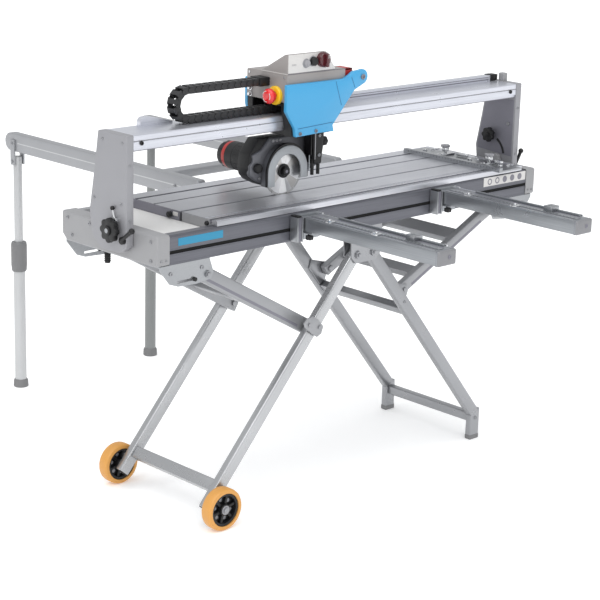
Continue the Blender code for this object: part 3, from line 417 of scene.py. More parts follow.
def make_stage():
    lens = bpy.data.cameras.new("camera")
    lens.sensor_width = 36.0
    lens.lens = 107.5
    camera = put("camera", lens)
    turn = Matrix.Rotation(math.radians(-44.04), 4, "Z") @ Matrix.Rotation(math.radians(74.34), 4, "X")
    turn = turn @ Matrix.Rotation(math.radians(1.61), 4, "Z")
    camera.matrix_world = Matrix.Translation(CORNER + Vector((-2.33323, -2.85379, 1.60485))) @ turn
    bpy.context.scene.camera = camera

    world = bpy.data.worlds.new("studio")
    bpy.context.scene.world = world
    world.use_nodes = True
    sky = world.node_tree.nodes["Background"].inputs
    sky["Color"].default_value = (0.97, 0.985, 1.0, 1.0)
    sky["Strength"].default_value = 0.72
    bpy.context.scene.view_settings.view_transform = "Standard"

    light = bpy.data.lights.new("soft_sun", "SUN")
    light.energy = 1.75
    light.angle = math.radians(70.0)
    put("soft_sun", light).rotation_euler = Vector((0.34, 0.22, -0.91)).to_track_quat("-Z", "Y").to_euler()
    light = bpy.data.lights.new("key", "AREA")
    light.shape = "DISK"
    light.size = 2.4
    light.energy = 13.0
    lamp = put("key", light)
    place, aim = Vector((-1.2, -3.2, 2.0)), Vector((0.6, 0.0, 0.7))
    lamp.location = CORNER + place
    lamp.rotation_euler = (aim - place).to_track_quat("-Z", "Y").to_euler()

    mesh = bpy.data.meshes.new("floor")
    part = bmesh.new()
    bmesh.ops.create_grid(part, x_segments=1, y_segments=1, size=60.0)
    part.to_mesh(mesh)
    part.free()
    material = bpy.data.materials.new("floor_pale")
    material.use_nodes = True
    paint = material.node_tree.nodes["Principled BSDF"].inputs
    paint["Base Color"].default_value = (0.94, 0.94, 0.94, 1.0)
    paint["Roughness"].default_value = 0.9
    paint["Emission Color"].default_value = (1.0, 1.0, 1.0, 1.0)
    paint["Emission Strength"].default_value = 0.22
    mesh.materials.append(material)
    put("floor", mesh)


# ---------------------------------------------------------------- base


def make_covers():
    bottom, top = 636, 703
    section = [(4, bottom), (318, bottom), (334, bottom + 14)]
    section += arc((328, top - 6), 6, 0, 90, 4)
    section += arc((4, top - 6), 6, 90, 180, 4)
    section += arc((4, bottom + 6), 6, 180, 270, 4)[:-1]
    for side, inset, out in ENDS:
        face = inset(0)
        cover = Shape(side + "_end_cover_shell", "base", "light_grey", side + "_end_cover")
        cover.prism(section, "X", inset(0), inset(35), 4.5, 4, 30,
                    only=lambda e: all(abs(v.co.x - face * MM) < 1e-5 for v in e.verts))
        lug = [(106, 690), (144, 690)] + arc((125, 712), 9.5, 0, 180, 12)
        cover.prism(lug, "X", inset(0.5), inset(14), 1)
        cover.rod((inset(4), 125, 712), (inset(-19.5), 125, 712), 5)
        screws = Shape(side + "_cover_screws", "base", "tube")
        for y, z in ((18, 647.5), (18, 690), (312, 690), (296, 652), (232, 690)):
            screws.screw((face, y, z), (out, 0, 0), 3.8, 2.2)
        for x in (12, 26):
            screws.screw((inset(x), -1.95, 648), (0, -1, 0), 2.6, 1.6)
        seam = Shape(side + "_cover_gasket", "base", "black")
        seam.box((inset(34.9), inset(35.8)), (0.3, 331.7), (637, 701.5))


def make_rail_trim():
    # near-black fill set into the rail T-slots is painted shadow
    slot = Shape("t_slot_painted_shadow", "base", "slot_painted_shadow")
    lines = Shape("rail_ridges", "base", "rail")
    for deep, _ in FACES:
        slot.box((36, LENGTH - 36), (deep(1.6), deep(9.8)), (659.7, 667.3))
        y = (deep(-0.4), deep(0.6))
        for z0, z1 in ((669, 670), (656.5, 657.5), (639.5, 640.5), (695.5, 696.5)):
            lines.box((36, LENGTH - 36), y, (z0, z1), 0.2, 1)
    Shape("plain_blue_strip", "base", "strip_blue").box((60, 187), (-0.7, 0.1), (675.5, 692.5), 0.3, 1)
    Shape("plain_white_plate", "base", "white").box((1055, 1218), (-0.7, 0.1), (676.5, 699), 0.3, 1)
    marks = Shape("plain_plate_discs", "base", "inner")
    ring = [(5.2, 0.3), (8.2, 0.3), (8.2, 0), (5.2, 0), (5.2, 0.3)]
    disc = [(0, 0.3), (8.2, 0.3), (8.2, 0), (0, 0)]
    for i, profile in enumerate((ring, ring, disc, disc, disc)):
        marks.turned(profile, (1078 + i * 29, -0.6, 687.8), (0, -1, 0), 24)
    dress("rail", "front_rail")
    dress("silver", "rear_rail")


def make_table_trim():
    dress("table", "front_table", "rear_table")
    dress("light_grey", "water_tray")
    ends = ((170.8, 171.9), (1205.1, 1206.2))
    plates = Shape("front_end_plates", "base", "light_grey")
    for x in ends:
        plates.box(x, (25.5, 120.5), (690.6, 711.8), 0.4, 1)
    Shape("table_plug", "base", "white").box((169, 171.2), (134, 150), (700, 709), 0.8)
    ribs = Shape("table_ribs", "base", "beam")
    for y in (6, 44):
        ribs.box((172.5, 1204.5), (y - 1.7, y + 1.7), (712.5, 713.18), 0.1, 1)
    lines = Shape("table_fine_lines", "base", "rail")
    for y in (9.5, 13, 16.5, 40.5, 47.5):
        lines.box((172.5, 1204.5), (y - 0.5, y + 0.5), (712.6, 713.12))
    plates = Shape("table_end_plates", "base", "inner")
    for x in ends:
        plates.box(x, (129.5, 306.5), (690.6, 711.8), 0.4, 1)
    knobs = Shape("table_end_knobs", "base", "black")
    knobs.turned([(0, 10.5), (5.2, 10), (6.6, 8.5), (6.6, 1.5), (4.5, 0),
                  (0, 0)], (170.6, 158, 701.5), (-1, 0, 0), 20)
    knobs.turned([(0, 6), (4.2, 5.8), (5.2, 4.5), (5.2, 0), (0, 0)],
                 (170.6, 33, 704), (-1, 0, 0), 20)
    slots = Shape("table_slot_floors", "base", "inner")
    for y in (24, 284):
        slots.box((172.5, 1204.5), (y - 4.9, y + 4.9), (707.2, 708))
    slots.box((172.5, 1204.5), (216.1, 221.9), (710.2, 710.6))
    scale = Shape("table_scale_ticks", "base", "black")
    for i in range(52):
        tall = 5 if i % 5 == 0 else 3
        x = 190 + i * 20
        scale.box((x - 0.4, x + 0.4), (30, 30 + tall), (712.8, 713.15))
    Shape("tray_end_deck", "base", "deck").box((36.5, 170), (27.5, 304.5), (689.8, 691.2), 0.4, 1)
    nozzle = Shape("drain_hose_tail", "base", "black")
    rings = [(0, 0), (6.4, 0)]
    for i in range(4):
        z = 3 + i * 5
        rings += [(6.4, z), (7.8, z + 1.2), (6.4, z + 4.5)]
    rings += [(9.6, 24.5), (10, 30), (0, 30)]
    nozzle.turned(rings, (52, 235, 592.2), (0, 0, 1), 20)


def make_fence_trim():
    dress("zinc", "fence")
    low, high = extent("fence")
    ticks = Shape("fence_ticks", "fence", "black")
    for i in range(31):
        y = low.y + 12 + i * 10
        tall = 5 if i % 5 == 0 else 3
        ticks.box((low.x - 0.3, low.x + 0.3), (y - 0.4, y + 0.4), (high.z - 2 - tall, high.z - 2))
    clamps = Shape("fence_clamps", "fence", "chrome")
    base = low.z + 4
    for y in (53.5, 203.5):
        clamps.box((1108, 1162), (y - 10, y + 10), (base, base + 4.5), 1)
        clamps.rod((1135, y, base), (1135, y, base + 13), 4.2, 16)
        clamps.turned([(0, 11), (8.5, 10.5), (9.8, 8), (9, 1), (0, 0)],
                      (1135, y, base + 10), (0, 0, 1), 18)
        clamps.bolt((1115, y, base + 4.5), (0, 0, 1), 3.4)
    clamps.box((1106, 1116), (20, 290), (base, base + 3), 0.6, 1)
    for y in (10, 112, 268):
        clamps.bolt((1158, y, base), (0, 0, 1), 4.8, 4)
        clamps.rod((1128, y, base), (1128, y, base + 7), 6, bevel=1)
    clamps.rod((1150, 140, base + 6), (1150, 176, base + 6), 5, bevel=1)
    clamps.rod((1146, 20, base + 7), (1146, 42, base + 7), 5.5, bevel=1)
    grips = Shape("fence_grips", "fence", "grey_plastic")
    for y in (53.5, 203.5):
        grips.prism(lobes((1135, y), 12, 6), "Z", base + 20.5, base + 27.5, 1.5, 2, 30)


# ---------------------------------------------------------------- stand


LEG_Y = 4
BRACE_Y = 28.5
DEEP = 20
LEFT_APEX, RIGHT_APEX = (614, 570), (666, 570)
LEG_END, AXLE = (165, 50), (176, 50)
LEFT_ELBOW, RIGHT_ELBOW = (478, 412.5), (805.8, 447.8)
LEFT_ANCHOR, RIGHT_ANCHOR = (145, 600), (1110, 600)
FOOT_BEND, FOOT_X = (1071.6, 78.5), 1079


GUSSET = [(750, 452), (757, 474), (800, 462.5), (813.5, 460), (820.5, 449),
          (816.5, 436), (806, 412), (790, 403)]


def along(a, b, t):
    length = math.hypot(b[0] - a[0], b[1] - a[1])
    return (a[0] + (b[0] - a[0]) * t / length, a[1] + (b[1] - a[1]) * t / length)


def make_legs():
    # the left leg tubes take the lighter copy of the tube silver as painted light
    left = Shape("left_leg_tubes", "left_legs", "tube_painted_light", "left_leg_frame")
    bolts = Shape("left_leg_bolts", "left_legs", "tube")
    for deep, way in FACES:
        y = (deep(LEG_Y), deep(LEG_Y + DEEP))
        left.bar(LEG_END, LEFT_APEX, 30, y, 12, 15)
        bolts.bolt((LEFT_ELBOW[0], deep(LEG_Y), LEFT_ELBOW[1]), (0, way, 0), 5.6, 2.6)
        left.rod((AXLE[0], deep(LEG_Y + 1), AXLE[1]), (AXLE[0], deep(-6), AXLE[1]), 9)
        left.rod((AXLE[0], deep(LEG_Y + 10), AXLE[1]), (AXLE[0], deep(-37.5), AXLE[1]), 6)
        bolts.bolt((AXLE[0], deep(-36.5), AXLE[1]), (0, way, 0), 7.8, 3.8)
        left.rod((LEFT_ELBOW[0], deep(LEG_Y + 2), LEFT_ELBOW[1]),
                 (LEFT_ELBOW[0], deep(50), LEFT_ELBOW[1]), 5.5)
        bolts.rod((LEFT_ELBOW[0], deep(49.7), LEFT_ELBOW[1]),
                  (LEFT_ELBOW[0], deep(53.3), LEFT_ELBOW[1]), 8.8, 6, bevel=0.6)
    left.bar(along(LEG_END, LEFT_APEX, 30), along(LEG_END, LEFT_APEX, 60), 20,
             (23.5, WIDTH - 23.5), bevel=3)

    right = Shape("right_leg_tubes", "right_legs", "tube", "right_leg_frame", slot="silver")
    bolts = Shape("right_leg_bolts", "right_legs", "tube")
    feet = Shape("right_feet", "right_legs", "foot_grey")
    for deep, way in FACES:
        y = (deep(LEG_Y), deep(LEG_Y + DEEP))
        right.bar(FOOT_BEND, RIGHT_APEX, 30, y, 8, 15)
        right.box((FOOT_X - 16.5, FOOT_X + 16.5), (min(y) + 0.4, max(y) - 0.4), (10, 83.5), 3.5, 3)
        feet.box((FOOT_X - 17, FOOT_X + 17), y, (0, 13), 2.5, 3)
        right.prism(GUSSET, "Y", deep(23.6), deep(28.1), 0.8)
        bolts.bolt((RIGHT_ELBOW[0], deep(23.7), RIGHT_ELBOW[1]), (0, way, 0), 6.6, 3)
        bolts.screw((809, deep(23.7), 425), (0, way, 0), 3.6, 1.8)
        bolts.screw((787, deep(LEG_Y), 423.5), (0, way, 0), 4, 1.8)
        bolts.screw((FOOT_X, deep(LEG_Y + 0.4), 58), (0, way, 0), 5.2, 2.6)
        right.rod((RIGHT_ELBOW[0], deep(24), RIGHT_ELBOW[1]),
                  (RIGHT_ELBOW[0], deep(50), RIGHT_ELBOW[1]), 5.5)
        bolts.rod((RIGHT_ELBOW[0], deep(49.7), RIGHT_ELBOW[1]),
                  (RIGHT_ELBOW[0], deep(53.3), RIGHT_ELBOW[1]), 8.8, 6, bevel=0.6)
    right.box((FOOT_X - 10, FOOT_X + 10), (23.5, WIDTH - 23.5), (46, 70), 3, 3)
    right.bar((799.5, 406.1), (814.7, 387.6), 20, (23.5, WIDTH - 23.5), bevel=3)
    for side, *plugs in (("left", (LEFT_APEX, LEG_END, -15.8), (LEG_END, LEFT_APEX, -12.8)),
                         ("right", (RIGHT_APEX, FOOT_BEND, -15.8))):
        caps = Shape(side + "_leg_plugs", side + "_legs", "black")
        for deep, _ in FACES:
            y = (deep(LEG_Y + 1.5), deep(LEG_Y + DEEP - 1.5))
            for a, b, start in plugs:
                caps.bar(along(a, b, start), along(a, b, start + 1.8), 26, y, bevel=0.4)


def make_braces():
    for name, body, elbow, anchor, wide, ties in (
        ("left", "left_brace", LEFT_ELBOW, LEFT_ANCHOR, 36, ((130, 30),)),
        ("right", "right_brace", RIGHT_ELBOW, RIGHT_ANCHOR, 28, ((50, 30), (205, 40))),
    ):
        braces = Shape(name + "_brace_tubes", body, "silver", name + "_brace_frame")
        ridges = Shape(name + "_brace_painted_shade", body, "inner")
        bolts = Shape(name + "_brace_bolts", body, "tube")
        for deep, way in FACES:
            y = (deep(BRACE_Y), deep(BRACE_Y + DEEP))
            braces.bar(elbow, anchor, wide, y, 14, 14, bevel=3)
            a, b = along(elbow, anchor, 30), along(anchor, elbow, 30)
            reach = math.hypot(b[0] - a[0], b[1] - a[1])
            shift = 0.24 * wide / reach
            dx = abs(b[1] - a[1]) * (-shift if name == "left" else shift)
            dz = -abs(b[0] - a[0]) * shift
            a, b = (a[0] + dx, a[1] + dz), (b[0] + dx, b[1] + dz)
            # a dark strip low on each brace's front face: painted shade of the tube's lower face
            edge = (deep(BRACE_Y - 0.3), deep(BRACE_Y + 0.6))
            ridges.bar(a, b, 6.5, edge, bevel=0.3, segments=1)
            bolts.bolt((anchor[0], deep(BRACE_Y + DEEP), anchor[1]), (0, -way, 0), 6.2, 3.2)
            if name == "left":
                plate = [(449, 443), (466, 446), (485, 435), (502, 416), (496, 399),
                         (482, 393), (465, 404), (443, 422), (439, 434)]
                braces.prism(plate, "Y", deep(-3.4), deep(0.2), 0.8)
                for x, z in ((456, 427), (489, 416)):
                    bolts.bolt((x, deep(-3.3), z), (0, way, 0), 5, 2.4)
        for t, length in ties:
            braces.bar(along(elbow, anchor, t), along(elbow, anchor, t + length), 18,
                       (BRACE_Y + DEEP - 1, WIDTH - BRACE_Y - DEEP + 1), bevel=2.5)


def make_brackets():
    dress("zinc", "left_bracket", "right_bracket")
    dress("tube", "stand_hub")
    for (side, inset, _), anchor in zip(ENDS, (LEFT_ANCHOR, RIGHT_ANCHOR)):
        bolts = Shape(side + "_bracket_bolts", "base", "tube")
        for deep, way in FACES:
            y = deep(0.3)
            bolts.bolt((anchor[0], deep(-3.6), anchor[1]), (0, way, 0), 5.8, 3)
            bolts.screw((inset(40), y, 616), (0, way, 0), 4.5, 2.6)
            bolts.screw((inset(128), y, 618), (0, way, 0), 4.5, 2.6)
        pins = Shape(side + "_bracket_pins", "base", "black")
        for deep, _ in FACES:
            x = inset(106)
            pins.rod((x, deep(1), 595), (x, deep(-5.8), 595), 4.8, bevel=0.8)
    bolts = Shape("hub_bolts", "base", "tube")
    for deep, way in FACES:
        for x, z in (LEFT_APEX, RIGHT_APEX):
            bolts.bolt((x, deep(-3.7), z), (0, way, 0), 5.4, 3.4)
        for x in (602, 678):
            bolts.screw((x, deep(0.3), 618), (0, way, 0), 4.2, 2.4)


def make_wheels():
    for side, (deep, _) in zip(("front", "rear"), FACES):
        y = deep(-22.5)
        centre = (AXLE[0], y, AXLE[1])
        tyre = Shape(side + "_tyre_tread", side + "_wheel", "amber", side + "_tyre")
        r, h = 50, 15
        tyre.turned([(39.2, h), (45.2, h), (47.4, h - 0.8), (49, h - 3), (49.8, h - 6.5),
                     (r, 0), (49.8, 6.5 - h), (49, 3 - h), (47.4, 0.8 - h), (45.2, -h),
                     (39.2, -h), (39.2, h)], centre, (0, 1, 0), 64)
        hub = Shape(side + "_wheel_spokes", side + "_wheel", "satin_black", side + "_wheel_hub")
        hub.turned([(33, 11.8), (37.8, 13), (39, 12), (39, -12), (37.8, -13),
                    (33, -11.8), (31.6, -6), (31.6, 6), (33, 11.8)], centre, (0, 1, 0), 48)
        hub.turned([(6.3, 15), (12, 15), (13.6, 13.6), (14.6, 5), (14.6, -5),
                    (13.6, -13.6), (12, -15), (6.3, -15), (6.3, 15)], centre, (0, 1, 0), 32)
        hub.turned([(12, 2.2), (33, 2.2), (33, -2.2), (12, -2.2), (12, 2.2)],
                   centre, (0, 1, 0), 40)
        for i in range(6):
            angle = math.pi * i / 3 + 0.26
            turn = Matrix.Translation(Vector(centre)) @ Matrix.Rotation(-angle, 4, "Y")
            hub.box((11.5, 33.5), (-9.5, 9.5), (-3.4, 3.4), 1.2, 2, turn)
        caps = Shape(side + "_wheel_caps", side + "_wheel", "grey_plastic")
        for way in (1, -1):
            face = (centre[0], y + way * 14.6, centre[2])
            caps.turned([(6.8, 1.2), (10.6, 1), (11.2, 0), (6.8, 0), (6.8, 1.2)],
                        face, (0, way, 0), 28)
        for x, z in circle(AXLE, 23.5, 6, -0.26):
            for way in (1, -1):
                caps.rod((x, y + way * 2, z), (x, y + way * 2.8, z), 4.6, bevel=0.4)


# ---------------------------------------------------------------- bridge


def upright_section():
    points = [(76, 668), (98, 653)] + arc((144, 712), 61, 262, 330, 12)
    return points + [(204, 734), (189, 815), (174, 908), (171, 910), (78, 910), (76, 908)]


def make_uprights():
    for side, inset, out in ENDS:
        x = (inset(-0.6), inset(-20.6))
        plate = Shape(side + "_upright_plate", "bridge", "upright", side + "_upright")
        plate.prism(upright_section(), "X", *x, 2.2, 3, 30)
        inner = [(81.5, 718), (196, 726), (198.5, 734), (184, 815), (176.5, 866), (81.5, 866)]
        liner = Shape(side + "_upright_inner", "bridge", "inner")
        liner.prism(inner, "X", inset(-0.2), inset(-1.2), 0.3, 1)
        face = inset(-20.6)
        screws = Shape(side + "_upright_screws", "bridge", "tube")
        for y, z in ((90, 893), (158, 893), (93.5, 760), (188, 760)):
            screws.screw((face, y, z), (out, 0, 0), 3.2, 1.4)
        for z in (725, 845):
            screws.screw((inset(-10.6), 76.2, z), (0, -1, 0), 3.4, 1.6)
        screws.screw((inset(-0.2), 96.5, 803), (-out, 0, 0), 4.6, 2.6)
    block = Shape("right_upright_block", "bridge", "light_grey", slot="silver")
    block.box((1258, 1273.5), (123, 141), (908, 931), 2.2, 3)
    stop = Shape("angle_arc", "bridge", "black")
    points = arc((160, 712), 57, 122, 168, 12) + arc((160, 712), 51, 168, 122, 12)
    stop.prism(points, "X", 1254, 1255.4, 0.3, 1)


def make_beam():
    dress("beam", "bridge_beam")
    span = (0.8, LENGTH - 0.8)
    Shape("beam_groove_shadow", "bridge", "rail_light").box(span, (79, 80.2), (894.8, 896.2))
    # a thin dark strip under the beam's front face: painted shade of the lower flange
    Shape("beam_lower_lip_painted_shade", "bridge", "inner").box(span, (80.2, 83.5), (873.8, 875.2), 0.3, 1)
    screws = Shape("beam_screws", "bridge", "satin_black")
    for x in (21.5, LENGTH - 21.5):
        screws.screw((x, 78, 890.5), (0, -1, 0), 4.8, 3)
        screws.screw((x, 170, 890.5), (0, 1, 0), 4.8, 3)
    cap = Shape("strip_end_cap", "bridge", "black")
    cap.box((1236, 1254), (148.6, 170.8), (908.8, 925.6), 1)
    cap.box((1250, 1264), (149, 170), (910.6, 925.2), 1)
    groove = Shape("strip_grooves", "bridge", "inner")
    groove.box((505, 1229), (149.6, 150.2), (912.5, 915))
    groove.box((505, 1229), (149.6, 150.2), (918.5, 920))


def knob(shape, centre, reach, radius, count, hub, boss):
    """A lobed clamp knob on an X axis: reach, hub and boss are (from, to) along X."""
    y, z = centre
    shape.prism(lobes((y, z), radius, count), "X", *reach, 2.2, 3, 30)
    shape.rod((hub[0], y, z), (hub[1], y, z), radius * 0.46, 28, bevel=0.6)
    shape.rod((boss[0], y, z), (boss[1], y, z), radius * 0.4, 28, bevel=1)


def make_knobs():
    star = Shape("tilt_star_knob", "tilt_knob", "satin_black", "left_tilt_knob")
    knob(star, (115, 702), (-41.5, -29), 27.5, 8, (-20.9, -34), (-38, -44.8))
    stud = Shape("tilt_knob_insert", "tilt_knob", "zinc")
    stud.turned([(0, 1), (5.2, 0.8), (5.8, 0), (0, 0)], (-44.2, 115, 702), (-1, 0, 0), 24)
    star = Shape("angle_star_knob", "angle_stop", "satin_black", "angle_stop_knob")
    knob(star, (151, 768), (1236, 1247), 19.5, 7, (1240, 1255.2), (1233.2, 1238))
    for side, x in (("left", 420), ("right", 888)):
        star = Shape(side + "_arm_star_knob", side + "_arm_screw", "satin_black", side + "_arm_knob")
        star.prism(lobes((x, -32), 9, 6), "Z", 642, 652, 1.6, 3, 30)
        star.rod((x, -32, 651), (x, -32, 661.7), 4.5, bevel=0.5)
        star.rod((x, -32, 641.2), (x, -32, 642.5), 4, bevel=0.4)
    star = Shape("depth_star_knob", "depth_screw", "satin_black", "depth_knob")
    star.prism(lobes((112, 828), 11.5, 6, 0.1), "X", 588, 602, 1.4, 2, 30)
    star.rod((583, 112, 828), (590, 112, 828), 4)
    star.rod((600, 112, 828), (604, 112, 828), 6.2, bevel=0.8)

    lever = Shape("index_lever", "tilt_lever", "chrome", "left_tilt_lever", slot="steel")
    lever.turned([(0, 7.4), (4.8, 7.2), (6.4, 6), (6.5, 0), (0, 0)],
                 (-20.9, 108, 723.5), (-1, 0, 0), 24)
    lever.rod((-26.2, 108, 723.5), (-26.2, 117, 749), 2.2, 16, 1.8)
    ball = Shape("index_lever_ball", "tilt_lever", "satin_black")
    ball.ball((-26.2, 117, 749), 5, 24)
    for side, inset, out in ENDS:
        x0, x1 = inset(-20.9), inset(-28.4)
        base, tip = ((85, 683), (48, 711)) if side == "left" else ((88, 690), (72, 732))
        lever = Shape(side + "_clamp_lever", side + "_lock", "satin_black", side + "_lock_lever")
        lever.turned([(0, 9.1), (6, 8.9), (8.3, 7), (8.5, 0), (0, 0)], (x0, *base), (out, 0, 0), 24)
        lever.rod((x1, *base), (x1, *tip), 3.6, 18, 4.8)
        lever.ball((x1, *tip), 6.8)


# ---------------------------------------------------------------- carriage and head


BOX_LEFT, BOX_RIGHT = 418.7, 602


def make_saddle():
    dress("black", "carriage_saddle")
    skirt = Shape("saddle_skirt", "carriage", "black")
    side = [(423, 940), (423, 920), (431, 896), (433, 862.2), (437.5, 862.2),
            (437.5, 940)]
    skirt.prism(side, "Y", 52.4, 76.5, 1, 1)
    skirt.prism(side, "Y", 171.5, 189.6, 1, 1)
    wiper = Shape("saddle_wipers", "carriage", "rubber")
    for x in (435.5, 555.7):
        wiper.box((x, x + 1.8), (79, 148), (928, 935), 0.4, 1)


def make_box():
    case = Shape("control_case", "carriage", "warm_grey", "control_box")
    low = [(52, 941), (188, 941), (188, 1003), (186, 1005), (137, 1006.2), (52, 1006.2)]
    case.prism(low, "X", BOX_LEFT, BOX_RIGHT, 1.6, 3)
    wedge = [(52.4, 1004), (137, 1004), (137, 1008), (62, 1050), (54, 1050.5), (52.4, 1049)]
    slope = 33.5 / 43.5
    case.loft([(BOX_LEFT, y, z) for y, z in wedge],
              [(min(538 + slope * (1050 - z), 576.5), y, z) for y, z in wedge], 1.6, 3)
    panel = Shape("control_panel", "carriage", "white")
    face = [(420, 1007.8), (420, 1048.5), (421.5, 1049.5), (536.5, 1049.5), (539, 1047.5),
            (568, 1009.5), (567, 1007.8)]
    panel.prism(face, "Y", 51.3, 53, 0.4)
    band = Shape("control_band", "carriage", "warm_grey")
    band.box((419.5, 601.2), (51.4, 52.4), (983, 1005), 0.4, 1)
    band.box((BOX_LEFT - 0.4, BOX_LEFT + 0.2), (56, 184), (944.5, 1001), 0.2, 1)
    Shape("control_seams", "carriage", "inner").box((419, 601.7), (51.1, 52.6), (1005.6, 1006.4))
    # a thin white strip along the fold between case and wedge: painted highlight on the edge
    fold = Shape("case_fold_highlight", "carriage", "white")
    fold.box((BOX_LEFT - 0.6, BOX_LEFT + 0.6), (52.2, 137.5), (1005.6, 1006.8), 0.2, 1)
    strap = Shape("case_strap", "carriage", "warm_grey")
    strap.box((BOX_LEFT - 0.4, BOX_LEFT + 1.2), (52.4, 137.2), (1003, 1008.4), 0.3, 1)
    gland = Shape("cable_glands", "carriage", "chrome")
    for z in (948, 962):
        gland.turned([(0, 10), (3.2, 9.8), (4.2, 8), (4.2, 4), (5.6, 3.6),
                      (5.6, 0), (0, 0)], (BOX_LEFT - 0.2, 172, z), (-1, 0, 0), 20)
    mark = Shape("panel_lines", "carriage", "grey_plastic")
    mark.box((430, 444), (50.8, 51.4), (1026.8, 1027.6))
    mark.box((430, 444), (50.8, 51.4), (1024.8, 1025.2))
    screws = Shape("case_screws", "carriage", "chrome")
    for y, z in ((62, 998), (178, 998)):
        screws.screw((BOX_LEFT - 0.3, y, z), (-1, 0, 0), 3, 1.6)
        screws.screw((BOX_RIGHT, y, z), (1, 0, 0), 3, 1.6)
    ring = Shape("button_bezels", "carriage", "grey_plastic")
    for x, z, r in ((474.5, 1027.5, 8.5), (495, 1031, 10)):
        ring.turned([(r + 0.3, 1.6), (r + 1.8, 1.4), (r + 2.4, 0), (r + 0.3, 0),
                     (r + 0.3, 1.6)], (x, 51.3, z), (0, -1, 0), 32)

    start = Shape("start_button_cap", "start", "grey_plastic", "start_button")
    start.turned([(0, 6.8), (3, 7), (4.6, 7.6), (6.6, 8), (8, 7.2),
                  (8.5, 5.5), (8.5, -4), (0, -4)], (474.5, 52, 1027.5), (0, -1, 0), 32)
    stop = Shape("stop_button_cap", "stop", "satin_black", "stop_button")
    stop.turned([(0, 10.6), (6, 11), (8.8, 10.6), (10, 9), (10, -4),
                 (0, -4)], (495, 52, 1031), (0, -1, 0), 32)
    for x, z in circle((495, 1031), 9.4, 14):
        stop.rod((x, 46.6, z), (x, 42.2, z), 0.8, 8)
    turn = Shape("selector_grip", "selector", "dark_red", "selector_knob")
    turn.turned([(0, 15), (10, 15.2), (15.2, 14.6), (16.6, 12.6), (17.4, 1.2),
                 (16, 0.3), (0, 0.3)], (523.5, 52, 1033), (0, -1, 0), 40)
    turn.box((519.5, 527.5), (27.9, 40), (1017.5, 1048.5), 2.4, 3)
    for x, z in circle((523.5, 1033), 16.4, 16):
        turn.rod((x, 51, z), (x, 39.2, z), 1.2, 8)
    Shape("selector_mark", "selector", "white").box((522.7, 524.3), (27.55, 28.3), (1037.5, 1047), 0.3, 1)


def make_estop():
    y, z = 88, 955
    left, face = BOX_LEFT - 0.3, 410.4
    base = Shape("stop_ring", "carriage", "yellow", "estop_base")
    base.turned([(10.7, 8), (18, 8), (20.3, 7.2), (21.5, 5.2), (21.5, 0),
                 (10.7, 0), (10.7, 8)], (left, y, z), (-1, 0, 0), 48)
    base.rod((left, y, z), (left - 0.8, y, z), 11)
    top = Shape("stop_mushroom", "estop", "red", "estop_button")
    top.turned([(0, 21.8), (6, 22.2), (7, 23.2), (11, 22.8), (15, 20.4),
                (17.2, 16.5), (17.6, 13), (16.8, 9.8), (13, 8.6), (10, 8.5),
                (10, 0.5), (0, 0.5)], (face, y, z), (-1, 0, 0), 48)
    arrow = Shape("stop_arcs", "estop", "white")
    for i in range(3):
        start = 120 * i + 20
        band = arc((y, z), 12.8, start, start + 70, 8) + arc((y, z), 11.2, start + 70, start, 8)
        arrow.prism(band, "X", face - 22.9, face - 21.5)


